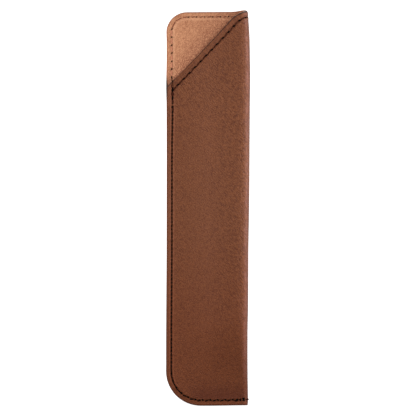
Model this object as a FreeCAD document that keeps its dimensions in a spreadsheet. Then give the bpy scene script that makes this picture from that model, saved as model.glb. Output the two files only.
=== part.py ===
import FreeCAD, Part
import Sketcher
import bisect
import math
import os
import re

# A folded leather slip case for one fountain pen, lying on its back.
# X runs across the case, Y along it towards the mouth, Z up through its thickness.
# The origin is under the middle of the case, on the surface that it lies on.
# One leather blank with a suede lining is sewn along its mouth edge, folded along the right side
# and closed by a second seam down the left side and along the bottom.

# The driving dimensions, in millimetres and degrees
DIMENSIONS = {
    "case_length": 165.0,
    "case_width": 34.4,
    "leather": 1.2,
    "lining": 0.6,
    "bond": 0.15,
    "pocket_gap": 5.4,
    "seam_margin": 4.4,
    "pinch_length": 32.0,
    "top_corner": 8.05,
    "bottom_corner": 13.9,
    "mouth_drop": 31.2,
    "mouth_angle": 46.2,
    "mouth_end_angle": 21.0,
    "mouth_ease": 17.0,
    "mouth_inset": 2.2,
    "closing_inset": 2.3,
    "stitch_pitch": 3.35,
    "thread": 0.35,
    "thread_room": 0.03,
    "edge_coat": 0.25,
}

doc = FreeCAD.newDocument("PenCase")
sheet = doc.addObject("Spreadsheet::Sheet", "Dimensions")
for row, (alias, number) in enumerate(DIMENSIONS.items(), start=1):
    sheet.set(f"A{row}", alias)
    sheet.set(f"B{row}", str(number))
    sheet.setAlias(f"B{row}", alias)
doc.recompute()


def bound(text):
    """The expression with every dimension's name pointing at its cell of the sheet."""
    return re.sub(r"[a-z]+(?:_[a-z]+)*", lambda m: f"Dimensions.{m[0]}" if m[0] in DIMENSIONS else m[0], text)


def value(text):
    """What an expression in the sheet's dimensions comes to."""
    return float(sheet.evalExpression(bound(text)))


# Sizes worked out from the driving ones, as expressions
ply = "(leather + lining)"
margin_height = f"(2 * {ply} + bond)"
left = "(-case_width / 2)"
right = "(case_width / 2)"
top = "(case_length / 2)"
bottom = "(-case_length / 2)"
margin_x = f"({left} + seam_margin)"
flat_y = f"({bottom} + seam_margin)"
full_y = f"({flat_y} + pinch_length)"
mouth_left_y = f"({top} - mouth_drop)"
thread_radius = "(thread / 2)"
thread_bend = "(0.55 * thread)"
needle_radius = f"({thread_bend} + {thread_radius} + thread_room)"
groove_width = "(1.5 * thread)"
stitch_sink = "(thread + 2 * thread_room)"
overrun = 2.0


def fold_radius(gap):
    """The outer radius of the fold where the pocket stands open by gap."""
    return f"({ply} + {gap} / 2)"


def sway_radius(gap):
    """The radius of the two arcs that carry the front panel from the fold down to the seam margin."""
    run = f"(case_width - seam_margin - {fold_radius(gap)})"
    rise = f"({gap} - bond)"
    return f"(({run} ^ 2 + {rise} ^ 2) / (4 * {rise}))"


def point(x, y):
    return FreeCAD.Vector(x, y, 0)


def line(start, end):
    return Part.LineSegment(start, end)


def arc(centre, radius, start_degrees, end_degrees):
    circle = Part.Circle(centre, FreeCAD.Vector(0, 0, 1), radius)
    return Part.ArcOfCircle(circle, math.radians(start_degrees), math.radians(end_degrees))


START, END, CENTRE = 1, 2, 3
ORIGIN = (-1, 1)


def join(sketch, first, first_end, second, second_end):
    sketch.addConstraint(Sketcher.Constraint("Coincident", first, first_end, second, second_end))


def size(sketch, name, text, kind, *where):
    """Adds a named dimension to a sketch and binds it to the sheet."""
    index = sketch.addConstraint(Sketcher.Constraint(kind, *where, value(text)))
    sketch.renameConstraint(index, name)
    sketch.setExpression(f"Constraints.{name}", bound(text))


# The folded sheet, seen along the case


def sheet_chain(sketch, name, depth, gap, flat):
    """One face of the folded sheet, depth below its outside: back, fold, front panel and seam margin."""
    radius, height = value(fold_radius(gap)), value(margin_height)
    fold_x = value(f"{right} - {fold_radius(gap)}")
    below, start_x, turn_x = value(depth), value(left), value(margin_x)
    middle_x = (fold_x + turn_x) / 2
    fold_centre = point(fold_x, radius)
    back = sketch.addGeometry(line(point(start_x, below), point(fold_x, below)))
    lower = sketch.addGeometry(arc(fold_centre, radius - below, -90, 0))
    upper = sketch.addGeometry(arc(fold_centre, radius - below, 0, 90))
    if flat:
        crown = sketch.addGeometry(line(point(fold_x, height - below), point(middle_x, height - below)))
        dip = sketch.addGeometry(line(point(turn_x, height - below), point(middle_x, height - below)))
    else:
        sway = value(sway_radius(gap))
        turn = math.degrees(2 * math.atan2(2 * radius - height, fold_x - turn_x))
        crown = sketch.addGeometry(arc(point(fold_x, 2 * radius - sway), sway - below, 90, 90 + turn))
        dip = sketch.addGeometry(arc(point(turn_x, height + sway), sway + below, 270, 270 + turn))
    margin = sketch.addGeometry(line(point(turn_x, height - below), point(start_x, height - below)))
    join(sketch, back, END, lower, START)
    join(sketch, lower, END, upper, START)
    join(sketch, lower, CENTRE, upper, CENTRE)
    join(sketch, upper, END, crown, START)
    join(sketch, dip, START, margin, START)
    sketch.addConstraint(Sketcher.Constraint("Horizontal", back))
    sketch.addConstraint(Sketcher.Constraint("Horizontal", margin))
    sketch.addConstraint(Sketcher.Constraint("Vertical", back, END, lower, CENTRE))
    sketch.addConstraint(Sketcher.Constraint("Vertical", upper, END, lower, CENTRE))
    sketch.addConstraint(Sketcher.Constraint("Horizontal", lower, END, lower, CENTRE))
    if flat:
        join(sketch, crown, END, dip, END)
        sketch.addConstraint(Sketcher.Constraint("Horizontal", crown))
        size(sketch, f"{name}_middle", f"({right} - {fold_radius(gap)} + {margin_x}) / 2",
             "DistanceX", *ORIGIN, crown, END)
    else:
        sketch.addConstraint(Sketcher.Constraint("Tangent", crown, END, dip, END))
        sketch.addConstraint(Sketcher.Constraint("Vertical", crown, CENTRE, lower, CENTRE))
        sketch.addConstraint(Sketcher.Constraint("Vertical", dip, CENTRE, margin, START))
        size(sketch, f"{name}_crown", f"{sway_radius(gap)} - {depth}", "Radius", crown)
    size(sketch, f"{name}_fold", f"{fold_radius(gap)} - {depth}", "Radius", lower)
    size(sketch, f"{name}_fold_x", f"{right} - {fold_radius(gap)}", "DistanceX", *ORIGIN, lower, CENTRE)
    size(sketch, f"{name}_fold_z", fold_radius(gap), "DistanceY", *ORIGIN, lower, CENTRE)
    size(sketch, f"{name}_margin_x", margin_x, "DistanceX", *ORIGIN, margin, START)
    size(sketch, f"{name}_margin_z", f"{margin_height} - {depth}", "DistanceY", *ORIGIN, margin, START)
    size(sketch, f"{name}_left_back", left, "DistanceX", *ORIGIN, back, START)
    size(sketch, f"{name}_left_front", left, "DistanceX", *ORIGIN, margin, END)
    return back, margin


def sheet_section(body, name, station, gap, outside, inside, flat=False):
    """A cut across one layer of the folded sheet, between two depths, at a station along the case."""
    sketch = body.newObject("Sketcher::SketchObject", name)
    plane = next(feature for feature in body.Origin.OriginFeatures if feature.Role == "XZ_Plane")
    sketch.AttachmentSupport = [(plane, "")]
    sketch.MapMode = "FlatFace"
    sketch.setExpression("AttachmentOffset.Base.z", bound(f"-({station})"))
    outer_back, outer_margin = sheet_chain(sketch, "outer", outside, gap, flat)
    inner_back, inner_margin = sheet_chain(sketch, "inner", inside, gap, flat)
    start_x, height = value(left), value(margin_height)
    ends = (
        (outer_margin, END, inner_margin, END, height - value(outside), height - value(inside)),
        (inner_back, START, outer_back, START, value(inside), value(outside)),
    )
    for first, first_end, second, second_end, from_z, to_z in ends:
        edge = sketch.addGeometry(line(point(start_x, from_z), point(start_x, to_z)))
        join(sketch, first, first_end, edge, START)
        join(sketch, edge, END, second, second_end)
    return sketch


# Where the pocket's opening grows from the sewn bottom to its full gap: share of the way, share of the gap
PINCH_STATIONS = (0.2, 0.4, 0.6, 0.8)


def eased(share):
    return share * share * (3 - 2 * share)


def folded_sheet(label, outside, inside):
    """One layer of the case: straight above the pinch, drawn flat at the bottom seam."""
    body = doc.addObject("PartDesign::Body", label)
    full = sheet_section(body, f"{label}Full", full_y, "pocket_gap", outside, inside)
    pocket = body.newObject("PartDesign::Pad", f"{label}Pocket")
    pocket.Profile = full
    pocket.Reversed = True
    pocket.setExpression("Length", bound(f"{top} - {full_y}"))
    pinched = []
    for index, share in enumerate(reversed(PINCH_STATIONS)):
        gap = f"(bond + (pocket_gap - bond) * {eased(share):.4f})"
        station = f"{flat_y} + pinch_length * {share}"
        pinched.append(sheet_section(body, f"{label}Pinch{index}", station, gap, outside, inside))
    flat = sheet_section(body, f"{label}Flat", flat_y, "bond", outside, inside, flat=True)
    doc.recompute()
    pinch = body.newObject("PartDesign::AdditiveLoft", f"{label}Pinch")
    pinch.Profile = full
    pinch.Sections = pinched + [flat]
    doc.recompute()
    sewn = body.newObject("PartDesign::Pad", f"{label}Sewn")
    sewn.Profile = flat
    sewn.setExpression("Length", bound("seam_margin"))
    doc.recompute()
    return body


leather_body = folded_sheet("LeatherSheet", "0", "leather")
lining_body = folded_sheet("LiningSheet", "leather", ply)


def straight_layer(label, outside, inside):
    """A layer of the folded sheet at its full gap over the part of the case that the mouth seam crosses."""
    body = doc.addObject("PartDesign::Body", label)
    section = sheet_section(body, f"{label}Section", full_y, "pocket_gap", outside, inside)
    pad = body.newObject("PartDesign::Pad", f"{label}Pad")
    pad.Profile = section
    pad.Reversed = True
    pad.setExpression("Length", bound(f"{top} - {full_y}"))
    doc.recompute()
    return body


# Plan shapes: loops of corners, each the x and y of a corner and the radius of the arc that leaves it


def loop(label, corners, height="0", upright=False):
    """A closed sketch. Every corner and arc is bound to the sheet; a positive radius turns left."""
    sketch = doc.addObject("Sketcher::SketchObject", label)
    if upright:
        sketch.Placement = FreeCAD.Placement(point(0, 0), FreeCAD.Rotation(FreeCAD.Vector(1, 0, 0), 90))
        sketch.setExpression("Placement.Base.y", bound(height))
    else:
        sketch.setExpression("Placement.Base.z", bound(height))
    places = [point(value(x), value(y)) for x, y, turn in corners]
    edges = []
    for index, (x, y, turn) in enumerate(corners):
        start, end = places[index], places[(index + 1) % len(places)]
        if turn is None:
            edges.append((sketch.addGeometry(line(start, end)), START, END))
            continue
        radius = value(turn)
        chord = end - start
        across = point(-chord.y, chord.x).normalize()
        reach = math.sqrt(max(radius * radius - chord.Length ** 2 / 4, 0))
        centre = (start + end) / 2 + across * (reach if radius > 0 else -reach)
        angles = [math.degrees(math.atan2(p.y - centre.y, p.x - centre.x)) for p in (start, end)]
        first, last = angles if radius > 0 else reversed(angles)
        while last < first:
            last += 360
        edge = sketch.addGeometry(arc(centre, abs(radius), first, last))
        edges.append((edge, START, END) if radius > 0 else (edge, END, START))
    for index, (x, y, turn) in enumerate(corners):
        edge, begin, finish = edges[index]
        following, next_begin, next_finish = edges[(index + 1) % len(edges)]
        join(sketch, edge, finish, following, next_begin)
        size(sketch, f"corner_{index}_x", x, "DistanceX", *ORIGIN, edge, begin)
        size(sketch, f"corner_{index}_y", y, "DistanceY", *ORIGIN, edge, begin)
        if turn is not None:
            size(sketch, f"turn_{index}", turn if value(turn) > 0 else f"-({turn})", "Radius", edge)
    return sketch


def prism(label, corners, low, high):
    """A plan shape made solid between two heights."""
    solid = doc.addObject("Part::Extrusion", label)
    solid.Base = loop(f"{label}Plan", corners, height=low)
    solid.DirMode = "Normal"
    solid.Solid = True
    solid.setExpression("LengthFwd", bound(f"{high} - ({low})"))
    return solid


def common(label, first, second):
    both = doc.addObject("Part::Common", label)
    both.Base, both.Tool = first, second
    return both


def cut(label, base, tool):
    rest = doc.addObject("Part::Cut", label)
    rest.Base, rest.Tool = base, tool
    return rest


def fuse(label, *shapes):
    whole = doc.addObject("Part::MultiFuse", label)
    whole.Shapes = list(shapes)
    return whole


full_radius = fold_radius("pocket_gap")
fold_x = f"({right} - {full_radius})"
flat_fold_x = f"({right} - {fold_radius('bond')})"
ceiling = f"(2 * {full_radius} + {overrun})"
basement = f"(-{overrun})"
far_left, far_right = f"({left} - {overrun})", f"({right} + {overrun})"
far_top = f"({top} + {overrun})"

# The mouth edge: a slanted line that eases with one arc towards the fold
ease_start_y = f"({top} - mouth_ease * (cos(mouth_end_angle) - cos(mouth_angle)))"
ease_start_x = f"({left} + ({ease_start_y} - {mouth_left_y}) / tan(mouth_angle))"
ease_x = f"({ease_start_x} + mouth_ease * sin(mouth_angle))"
ease_y = f"({ease_start_y} - mouth_ease * cos(mouth_angle))"


def slant_y(offset, x):
    """The height of the mouth edge's straight part at x, offset into the front panel."""
    return f"({mouth_left_y} + ({x} - {left}) * tan(mouth_angle) - ({offset}) / cos(mouth_angle))"


def ease_from(offset):
    """The corner where the straight part gives way to the arc."""
    radius = f"(mouth_ease - ({offset}))"
    return f"({ease_x} - {radius} * sin(mouth_angle))", f"({ease_y} + {radius} * cos(mouth_angle))"


def ease_to(offset):
    """The corner where the arc ends."""
    radius = f"(mouth_ease - ({offset}))"
    return f"({ease_x} - {radius} * sin(mouth_end_angle))", f"({ease_y} + {radius} * cos(mouth_end_angle))"


def above_mouth(label, offset):
    """Everything beyond the mouth edge, at an offset into the front panel."""
    end_x, end_y = ease_to(offset)
    corners = [
        (far_left, slant_y(offset, far_left), None),
        (*ease_from(offset), f"-(mouth_ease - ({offset}))"),
        (end_x, end_y, None),
        (far_right, f"{end_y} + ({far_right} - {end_x}) * tan(mouth_end_angle)", None),
        (far_right, f"{far_top} + 2 * {overrun}", None),
        (far_left, f"{far_top} + 2 * {overrun}", None),
    ]
    return prism(label, corners, basement, ceiling)


# What belongs to the front panel: above the glue in the margin, above the fold's middle near the fold
split_z = f"({ply} + bond / 2)"
split_x = f"(({fold_x} + {margin_x}) / 2 + {ply})"
front_space = doc.addObject("Part::Extrusion", "FrontSpace")
front_space.Base = loop("FrontSpacePlan", [
    (far_left, split_z, None),
    (split_x, split_z, None),
    (split_x, full_radius, None),
    (far_right, full_radius, None),
    (far_right, ceiling, None),
    (far_left, ceiling, None),
], height=f"{far_top} + 3 * {overrun}", upright=True)
front_space.DirMode = "Normal"
front_space.Solid = True
front_space.setExpression("LengthFwd", bound(f"case_length + 6 * {overrun}"))

mouth_waste = common("MouthWaste", above_mouth("AboveMouth", "edge_coat"), front_space)
mouth_clear = common("MouthClear", above_mouth("BeyondCoat", "0"), front_space)


def round_corner(offset, corner, vertical):
    """The two ends of a left hand corner's arc, the upper end first for the bottom corner."""
    x_side, x_in = f"({left} + {offset})", f"({left} + {corner})"
    if vertical == "top":
        return (x_in, f"({top} - {offset})"), (x_side, f"({top} - {corner})")
    return (x_side, f"({bottom} + {corner})"), (x_in, f"({bottom} + {offset})")


top_start, top_end = round_corner("edge_coat", "top_corner", "top")
low_start, low_end = round_corner("edge_coat", "bottom_corner", "bottom")
blank_outline = prism("BlankOutline", [
    (far_right, f"{top} - edge_coat", None),
    (*top_start, "top_corner - edge_coat"),
    (*top_end, None),
    (*low_start, "bottom_corner - edge_coat"),
    (*low_end, None),
    (far_right, f"{bottom} + edge_coat", None),
], basement, ceiling)


def tongue_band(label, near, far, start_x, end_y, low, high):
    """A band that follows the back panel's top edge and rounded corner, between two insets."""
    near_start, near_end = round_corner(near, "top_corner", "top")
    far_start, far_end = round_corner(far, "top_corner", "top")
    return prism(label, [
        (start_x, f"{top} - {near}", None),
        (*near_start, f"top_corner - {near}"),
        (*near_end, None),
        (f"{left} + {near}", end_y, None),
        (f"{left} + {far}", end_y, None),
        (*far_end, f"-(top_corner - {far})"),
        (*far_start, None),
        (start_x, f"{top} - {far}", None),
    ], low, high)


def closing_band(label, near, far, start_y, end_x, low, high):
    """A band that follows the left side, the bottom corner and the bottom, between two insets."""
    near_start, near_end = round_corner(near, "bottom_corner", "bottom")
    far_start, far_end = round_corner(far, "bottom_corner", "bottom")
    return prism(label, [
        (f"{left} + {near}", start_y, None),
        (*near_start, f"bottom_corner - {near}"),
        (*near_end, None),
        (end_x, f"{bottom} + {near}", None),
        (end_x, f"{bottom} + {far}", None),
        (*far_end, f"-(bottom_corner - {far})"),
        (*far_start, None),
        (f"{left} + {far}", start_y, None),
    ], low, high)


def mouth_band(label, near, far, start_x, end_x, low, high):
    """A band that follows the slanted mouth edge as far as end_x on its arc, between two insets."""
    def arc_y(offset):
        return f"({ease_y} + sqrt((mouth_ease - ({offset})) ^ 2 - ({ease_x} - {end_x}) ^ 2))"
    return prism(label, [
        (start_x, slant_y(far, start_x), None),
        (*ease_from(far), f"-(mouth_ease - ({far}))"),
        (end_x, arc_y(far), None),
        (end_x, arc_y(near), f"mouth_ease - ({near})"),
        (*ease_from(near), None),
        (start_x, slant_y(near, start_x), None),
    ], low, high)


# Where the stitches lie
half_groove = f"({groove_width} / 2)"
mouth_start_x = f"({left} + closing_inset + 0.5 * stitch_pitch)"
tongue_end_y = f"({mouth_left_y} + 0.75 * stitch_pitch)"
closing_start_y = slant_y("mouth_inset", f"({left} + closing_inset)")
closing_end_x = f"({flat_fold_x} - 2 * {needle_radius})"
groove_end = f"(1.5 * {needle_radius})"
seam_top_y = f"({top} - mouth_inset)"
meet_x = f"({ease_x} - sqrt((mouth_ease - mouth_inset) ^ 2 - ({seam_top_y} - {ease_y}) ^ 2))"

seam_near, seam_far = f"(mouth_inset - {half_groove})", f"(mouth_inset + {half_groove})"
mouth_path = fuse(
    "MouthPath",
    common("SlantPath", mouth_band("SlantBand", seam_near, seam_far, f"({mouth_start_x} - {groove_end})",
                                   f"({meet_x} + {half_groove})", basement, ceiling), front_space),
    prism("FoldBand", [
        (f"{meet_x} - {half_groove}", f"{seam_top_y} - {half_groove}", None),
        (far_right, f"{seam_top_y} - {half_groove}", None),
        (far_right, f"{seam_top_y} + {half_groove}", None),
        (f"{meet_x} - {half_groove}", f"{seam_top_y} + {half_groove}", None),
    ], full_radius, ceiling),
    tongue_band("TongueBand", seam_near, seam_far, far_right, f"({tongue_end_y} - {groove_end})",
                basement, full_radius),
)
skin = f"({thread_radius})"
mouth_groove = common("MouthGroove", straight_layer("GrooveLayer", f"(-{skin})", stitch_sink), mouth_path)
lining_layer = straight_layer("LiningLayer", f"({ply} - {stitch_sink})", f"({ply} + bond / 4)")
lining_groove = common("LiningGroove", lining_layer, mouth_path)
close_near, close_far = f"(closing_inset - {half_groove})", f"(closing_inset + {half_groove})"
close_top, close_end = f"({closing_start_y} + {groove_end})", f"({closing_end_x} + {groove_end})"
front_groove = closing_band("FrontGroove", close_near, close_far, close_top, close_end,
                            f"({margin_height} - {stitch_sink})", f"({margin_height} + {skin})")
back_groove = closing_band("BackGroove", close_near, close_far, close_top, close_end, f"(-{skin})", stitch_sink)
doc.recompute()

# The two seams as fine steps along the case, each a point on its outside and the point under it on its inside


def mouth_seam():
    """From the front panel's left over the fold and around the back panel's corner."""
    radius, x_fold, turn_x, thick = value(full_radius), value(fold_x), value(margin_x), value(ply)
    sway, height = value(sway_radius("pocket_gap")), value(margin_height)
    lean = math.atan2(2 * radius - height, x_fold - turn_x)
    centre_x, centre_y, reach = value(ease_x), value(ease_y), value("mouth_ease - mouth_inset")
    arc_x, top_x = value(ease_from("mouth_inset")[0]), value(meet_x)
    y_top, y_end = value(seam_top_y), value(tongue_end_y)
    base_y, slope = value(slant_y("mouth_inset", left)), math.tan(math.radians(value("mouth_angle")))

    def seam_y(x):
        if x < arc_x:
            return base_y + (x - value(left)) * slope
        if x > top_x:
            return y_top
        return centre_y + math.sqrt(reach * reach - (centre_x - x) ** 2)

    def panel_z(x, depth):
        if x < turn_x:
            return height - depth
        if x < (x_fold + turn_x) / 2 + depth * math.sin(2 * lean):
            return height + sway - math.sqrt((sway + depth) ** 2 - (x - turn_x) ** 2)
        return 2 * radius - sway + math.sqrt((sway - depth) ** 2 - (x_fold - x) ** 2)

    steps = []
    start_x = value(mouth_start_x)
    for index in range(401):
        x = start_x + (x_fold - start_x) * index / 400
        steps.append([FreeCAD.Vector(x, seam_y(x), panel_z(x, depth)) for depth in (0, thick)])
    for index in range(1, 181):
        angle = math.radians(90 - index)
        step = []
        for reach_out in (radius, radius - thick):
            x = x_fold + reach_out * math.cos(angle)
            step.append(FreeCAD.Vector(x, seam_y(x) if angle > 0 else y_top, radius + reach_out * math.sin(angle)))
        steps.append(step)
    corner, turn = value("top_corner"), value("top_corner - mouth_inset")
    corner_x, corner_y = value(left) + corner, value(top) - corner
    plan = [(x_fold + (corner_x - x_fold) * index / 100, y_top) for index in range(1, 101)]
    for index in range(1, 91):
        angle = math.radians(90 + index)
        plan.append((corner_x + turn * math.cos(angle), corner_y + turn * math.sin(angle)))
    plan += [(corner_x - turn, corner_y + (y_end - corner_y) * index / 100) for index in range(1, 101)]
    return steps + [[FreeCAD.Vector(x, y, depth) for depth in (0, thick)] for x, y in plan]


def closing_seam():
    """Down the left side, around the bottom corner and along the bottom, from the front to the back."""
    corner, turn = value("bottom_corner"), value("bottom_corner - closing_inset")
    corner_x, corner_y = value(left) + corner, value(bottom) + corner
    start_y, end_x = value(closing_start_y), value(closing_end_x)
    plan = [(corner_x - turn, start_y + (corner_y - start_y) * index / 200) for index in range(201)]
    for index in range(1, 91):
        angle = math.radians(180 + index)
        plan.append((corner_x + turn * math.cos(angle), corner_y + turn * math.sin(angle)))
    plan += [(corner_x + (end_x - corner_x) * index / 100, corner_y - turn) for index in range(1, 101)]
    return [[FreeCAD.Vector(x, y, z) for z in (value(margin_height), 0)] for x, y in plan]


class Seam:
    """A row of steps measured along its length, so that a stitch can be placed anywhere on it."""

    def __init__(self, steps, thickness):
        self.steps, self.thickness = steps, value(thickness)
        self.travel = [0.0]
        for (before, _), (after, _) in zip(steps, steps[1:]):
            self.travel.append(self.travel[-1] + (after - before).Length)
        count = max(2, round(self.travel[-1] / value("stitch_pitch")))
        self.holes = [self.travel[-1] * index / count for index in range(count + 1)]

    def at(self, distance, depth):
        """The place at a distance along the seam and a depth below the outside."""
        index = min(max(bisect.bisect_right(self.travel, distance) - 1, 0), len(self.travel) - 2)
        share = (distance - self.travel[index]) / (self.travel[index + 1] - self.travel[index])
        outer, inner = (before + (after - before) * share for before, after in zip(*self.steps[index:index + 2]))
        return outer + (inner - outer) * (depth / self.thickness)

    def along(self, distance):
        """The way along the seam at a distance."""
        return (self.at(distance + 0.05, 0) - self.at(distance - 0.05, 0)).normalize()


mouth = Seam(mouth_seam(), ply)
closing = Seam(closing_seam(), margin_height)


def needle_holes(label, seam, depth):
    """The row of holes that the needle left, from the outside to the inside."""
    holes = []
    for index, distance in enumerate(seam.holes):
        start, end = seam.at(distance, -value(skin)), seam.at(distance, seam.thickness + value(skin))
        hole = doc.addObject("Part::Cylinder", f"{label}{index:02d}")
        hole.setExpression("Radius", bound(needle_radius))
        hole.setExpression("Height", bound(f"({depth} + 2 * {skin}) * {(end - start).Length / value(f'{depth} + 2 * {skin}'):.6f}"))
        hole.Placement = FreeCAD.Placement(start, FreeCAD.Rotation(FreeCAD.Vector(0, 0, 1), end - start))
        holes.append(hole)
    row = doc.addObject("Part::Compound", label)
    row.Links = holes
    return row


mouth_holes = needle_holes("MouthHoles", mouth, ply)
closing_holes = needle_holes("ClosingHoles", closing, margin_height)
doc.recompute()


def rounded(points, radii):
    """A wire of straight lines and tangent arcs through the points, each corner at its own radius."""
    edges, here = [], points[0]
    for index in range(1, len(points) - 1):
        before, corner, after = points[index - 1], points[index], points[index + 1]
        incoming, outgoing = corner - before, after - corner
        turn = incoming.getAngle(outgoing)
        if turn < 1e-4:
            continue
        room = 0.49 * min(incoming.Length, outgoing.Length)
        back = min(radii[index] * math.tan(turn / 2), room)
        bend = back / math.tan(turn / 2)
        start = corner - incoming.normalize() * back
        end = corner + outgoing.normalize() * back
        inward = ((start - corner) + (end - corner)).normalize()
        centre = corner + inward * (bend / math.cos(turn / 2))
        if (start - here).Length > 1e-6:
            edges.append(Part.LineSegment(here, start).toShape())
        edges.append(Part.Arc(start, centre - inward * bend, end).toShape())
        here = end
    edges.append(Part.LineSegment(here, points[-1]).toShape())
    return Part.Wire(edges)


def stitched(label, seam, run_depth, turn_depth):
    """One thread of a lockstitch: it lies at run_depth and dips to turn_depth in every hole."""
    bend = value(thread_bend)
    half = 1.1 * bend
    points, radii = [], []

    def add(distance, depth, radius, shift=0.0):
        points.append(seam.at(distance, depth) + seam.along(distance) * shift)
        radii.append(radius)

    for index, distance in enumerate(seam.holes):
        if index > 0:
            add(distance, run_depth, bend, -half)
            add(distance, turn_depth, bend, -half)
        if index == len(seam.holes) - 1:
            break
        add(distance, turn_depth, bend, half)
        add(distance, run_depth, bend, half)
        start, end = distance + half, seam.holes[index + 1] - half
        marks = [seam.along(start + (end - start) * step / 12) for step in range(13)]
        turn = sum(first.getAngle(second) for first, second in zip(marks, marks[1:]))
        pieces = math.ceil(math.degrees(turn) / 10)
        for piece in range(1, pieces):
            add(start + (end - start) * piece / pieces, run_depth, 1e3)
    path = rounded(points, radii)
    circle = Part.Circle(points[0], points[1] - points[0], value(thread_radius))
    profile = Part.Wire(circle.toShape())
    thread = doc.addObject("Part::Feature", label)
    thread.Shape = path.makePipeShell([profile], True, False)
    expected = math.pi * value(thread_radius) ** 2 * path.Length
    if abs(thread.Shape.Volume / expected - 1) > 0.02:
        raise RuntimeError(f"{label} holds {thread.Shape.Volume:.3f} mm3 and should hold {expected:.3f}")
    return thread


flush = value(f"{thread_radius} + thread_room")
hitch = value(f"{thread_radius} + thread_room / 2")
mouth_middle = value(ply) / 2
closing_middle = value(margin_height) / 2
threads = {
    "mouth_needle_thread": (mouth, flush, mouth_middle - hitch),
    "mouth_bobbin_thread": (mouth, value(ply) - flush, mouth_middle + hitch),
    "closing_needle_thread": (closing, flush, closing_middle - hitch),
    "closing_bobbin_thread": (closing, value(margin_height) - flush, closing_middle + hitch),
}
finished = {label: stitched(label, *where) for label, where in threads.items()}

leather_blank = cut("LeatherBlank", common("LeatherOutline", leather_body, blank_outline), mouth_waste)
leather_grooves = fuse("LeatherGrooves", mouth_groove, front_groove, back_groove)
finished["outer_leather"] = cut(
    "outer_leather", cut("LeatherPunched", cut("LeatherGrooved", leather_blank, leather_grooves), mouth_holes), closing_holes)
lining_blank = cut("LiningBlank", common("LiningOutline", lining_body, blank_outline), mouth_waste)
finished["suede_lining"] = cut(
    "suede_lining", cut("LiningPunched", cut("LiningGrooved", lining_blank, lining_groove), mouth_holes), closing_holes)

glue = closing_band("Glue", "edge_coat", "seam_margin", f"({top} - edge_coat)", flat_fold_x, ply, f"({ply} + bond)")
finished["seam_adhesive_strip"] = cut(
    "seam_adhesive_strip", cut("GlueTrimmed", glue, above_mouth("AboveGlue", "edge_coat")), closing_holes)

sandwich = straight_layer("Sandwich", "0", ply)
mouth_rim = common("MouthRim", mouth_band("MouthRimBand", "0", "edge_coat", far_left, f"({ease_to('edge_coat')[0]})",
                                          basement, ceiling), front_space)
tongue_rim = tongue_band("TongueRim", "0", "edge_coat", far_right, mouth_left_y, basement, ceiling)
finished["mouth_edge_coat"] = cut(
    "mouth_edge_coat", common("MouthCoatFull", sandwich, fuse("MouthRims", mouth_rim, tongue_rim)), mouth_clear)

flat_radius = fold_radius("bond")
envelope = doc.addObject("Part::Extrusion", "SewnEnvelope")
envelope.Base = loop("SewnEnvelopePlan", [
    (far_left, "0", None),
    (flat_fold_x, "0", flat_radius),
    (right, flat_radius, flat_radius),
    (flat_fold_x, margin_height, None),
    (far_left, margin_height, None),
], height=mouth_left_y, upright=True)
envelope.DirMode = "Normal"
envelope.Solid = True
envelope.setExpression("LengthFwd", bound(f"{mouth_left_y} - {bottom} + {overrun}"))
closing_rim = closing_band("ClosingRim", "0", "edge_coat", mouth_left_y, far_right, basement, ceiling)
finished["closing_edge_coat"] = cut("closing_edge_coat", common("ClosingCoatFull", closing_rim, envelope), mouth_waste)
doc.recompute()

# Nothing is written unless every object built and every piece is one sound solid
for item in doc.Objects:
    if {"Invalid", "Error"} & set(item.State):
        raise RuntimeError(f"{item.Label} did not build: {item.State}")
os.makedirs("parts", exist_ok=True)
for label, piece in finished.items():
    piece.Label = label
    shape = piece.Shape
    if shape.isNull() or not shape.isValid() or len(shape.Solids) != 1:
        raise RuntimeError(f"{label} is not one sound solid")
    print(label, f"{shape.Volume:.2f} mm3")
    shape.exportStep(f"parts/{label}.step")
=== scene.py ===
import math

import bpy
import numpy as np
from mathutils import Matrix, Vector
from mathutils.kdtree import KDTree


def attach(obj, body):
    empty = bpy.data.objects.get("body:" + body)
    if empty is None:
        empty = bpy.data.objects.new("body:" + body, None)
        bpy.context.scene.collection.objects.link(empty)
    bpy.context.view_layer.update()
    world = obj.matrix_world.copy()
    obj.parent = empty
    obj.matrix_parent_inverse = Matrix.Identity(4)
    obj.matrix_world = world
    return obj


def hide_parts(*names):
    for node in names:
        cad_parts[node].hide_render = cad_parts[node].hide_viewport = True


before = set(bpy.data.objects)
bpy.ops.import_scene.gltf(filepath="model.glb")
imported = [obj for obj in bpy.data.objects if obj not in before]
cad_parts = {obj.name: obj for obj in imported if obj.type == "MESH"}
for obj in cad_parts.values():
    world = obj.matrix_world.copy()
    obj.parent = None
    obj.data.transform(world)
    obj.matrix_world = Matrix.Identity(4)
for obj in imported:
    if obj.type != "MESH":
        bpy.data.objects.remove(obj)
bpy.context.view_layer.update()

millimetre = 0.001


# A dictionary whose entries can be read like attributes
class Settings(dict):
    __getattr__ = dict.__getitem__


# The folded blank in millimetres and degrees, as the solids have it, with its mouth and corners given
caseForm = Settings(
    length=165.0,
    width=34.4,
    leather=1.2,
    ply=1.8,  # leather and suede together
    bond=0.15,
    pocketGap=5.4,
    seamMargin=4.4,
    pinchLength=32.0,
    topCorner=8.55,
    bottomCorner=14.5,
    edgeCoat=0.25,
    mouthDrop=31.8,
    mouthAngle=46.2,
    mouthEndAngle=9.0,
    mouthEase=14.5,
)
left, right = -caseForm.width / 2, caseForm.width / 2
bottom, top = -caseForm.length / 2, caseForm.length / 2
ply, bond, coat = caseForm.ply, caseForm.bond, caseForm.edgeCoat
lowCorner, highCorner = caseForm.bottomCorner, caseForm.topCorner
marginHeight = 2 * ply + bond
marginX = left + caseForm.seamMargin
flatY = bottom + caseForm.seamMargin
mouthLeftY = top - caseForm.mouthDrop
mouthTurn = math.radians(caseForm.mouthAngle)
mouthEnd = math.radians(caseForm.mouthEndAngle)
ease = caseForm.mouthEase
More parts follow.
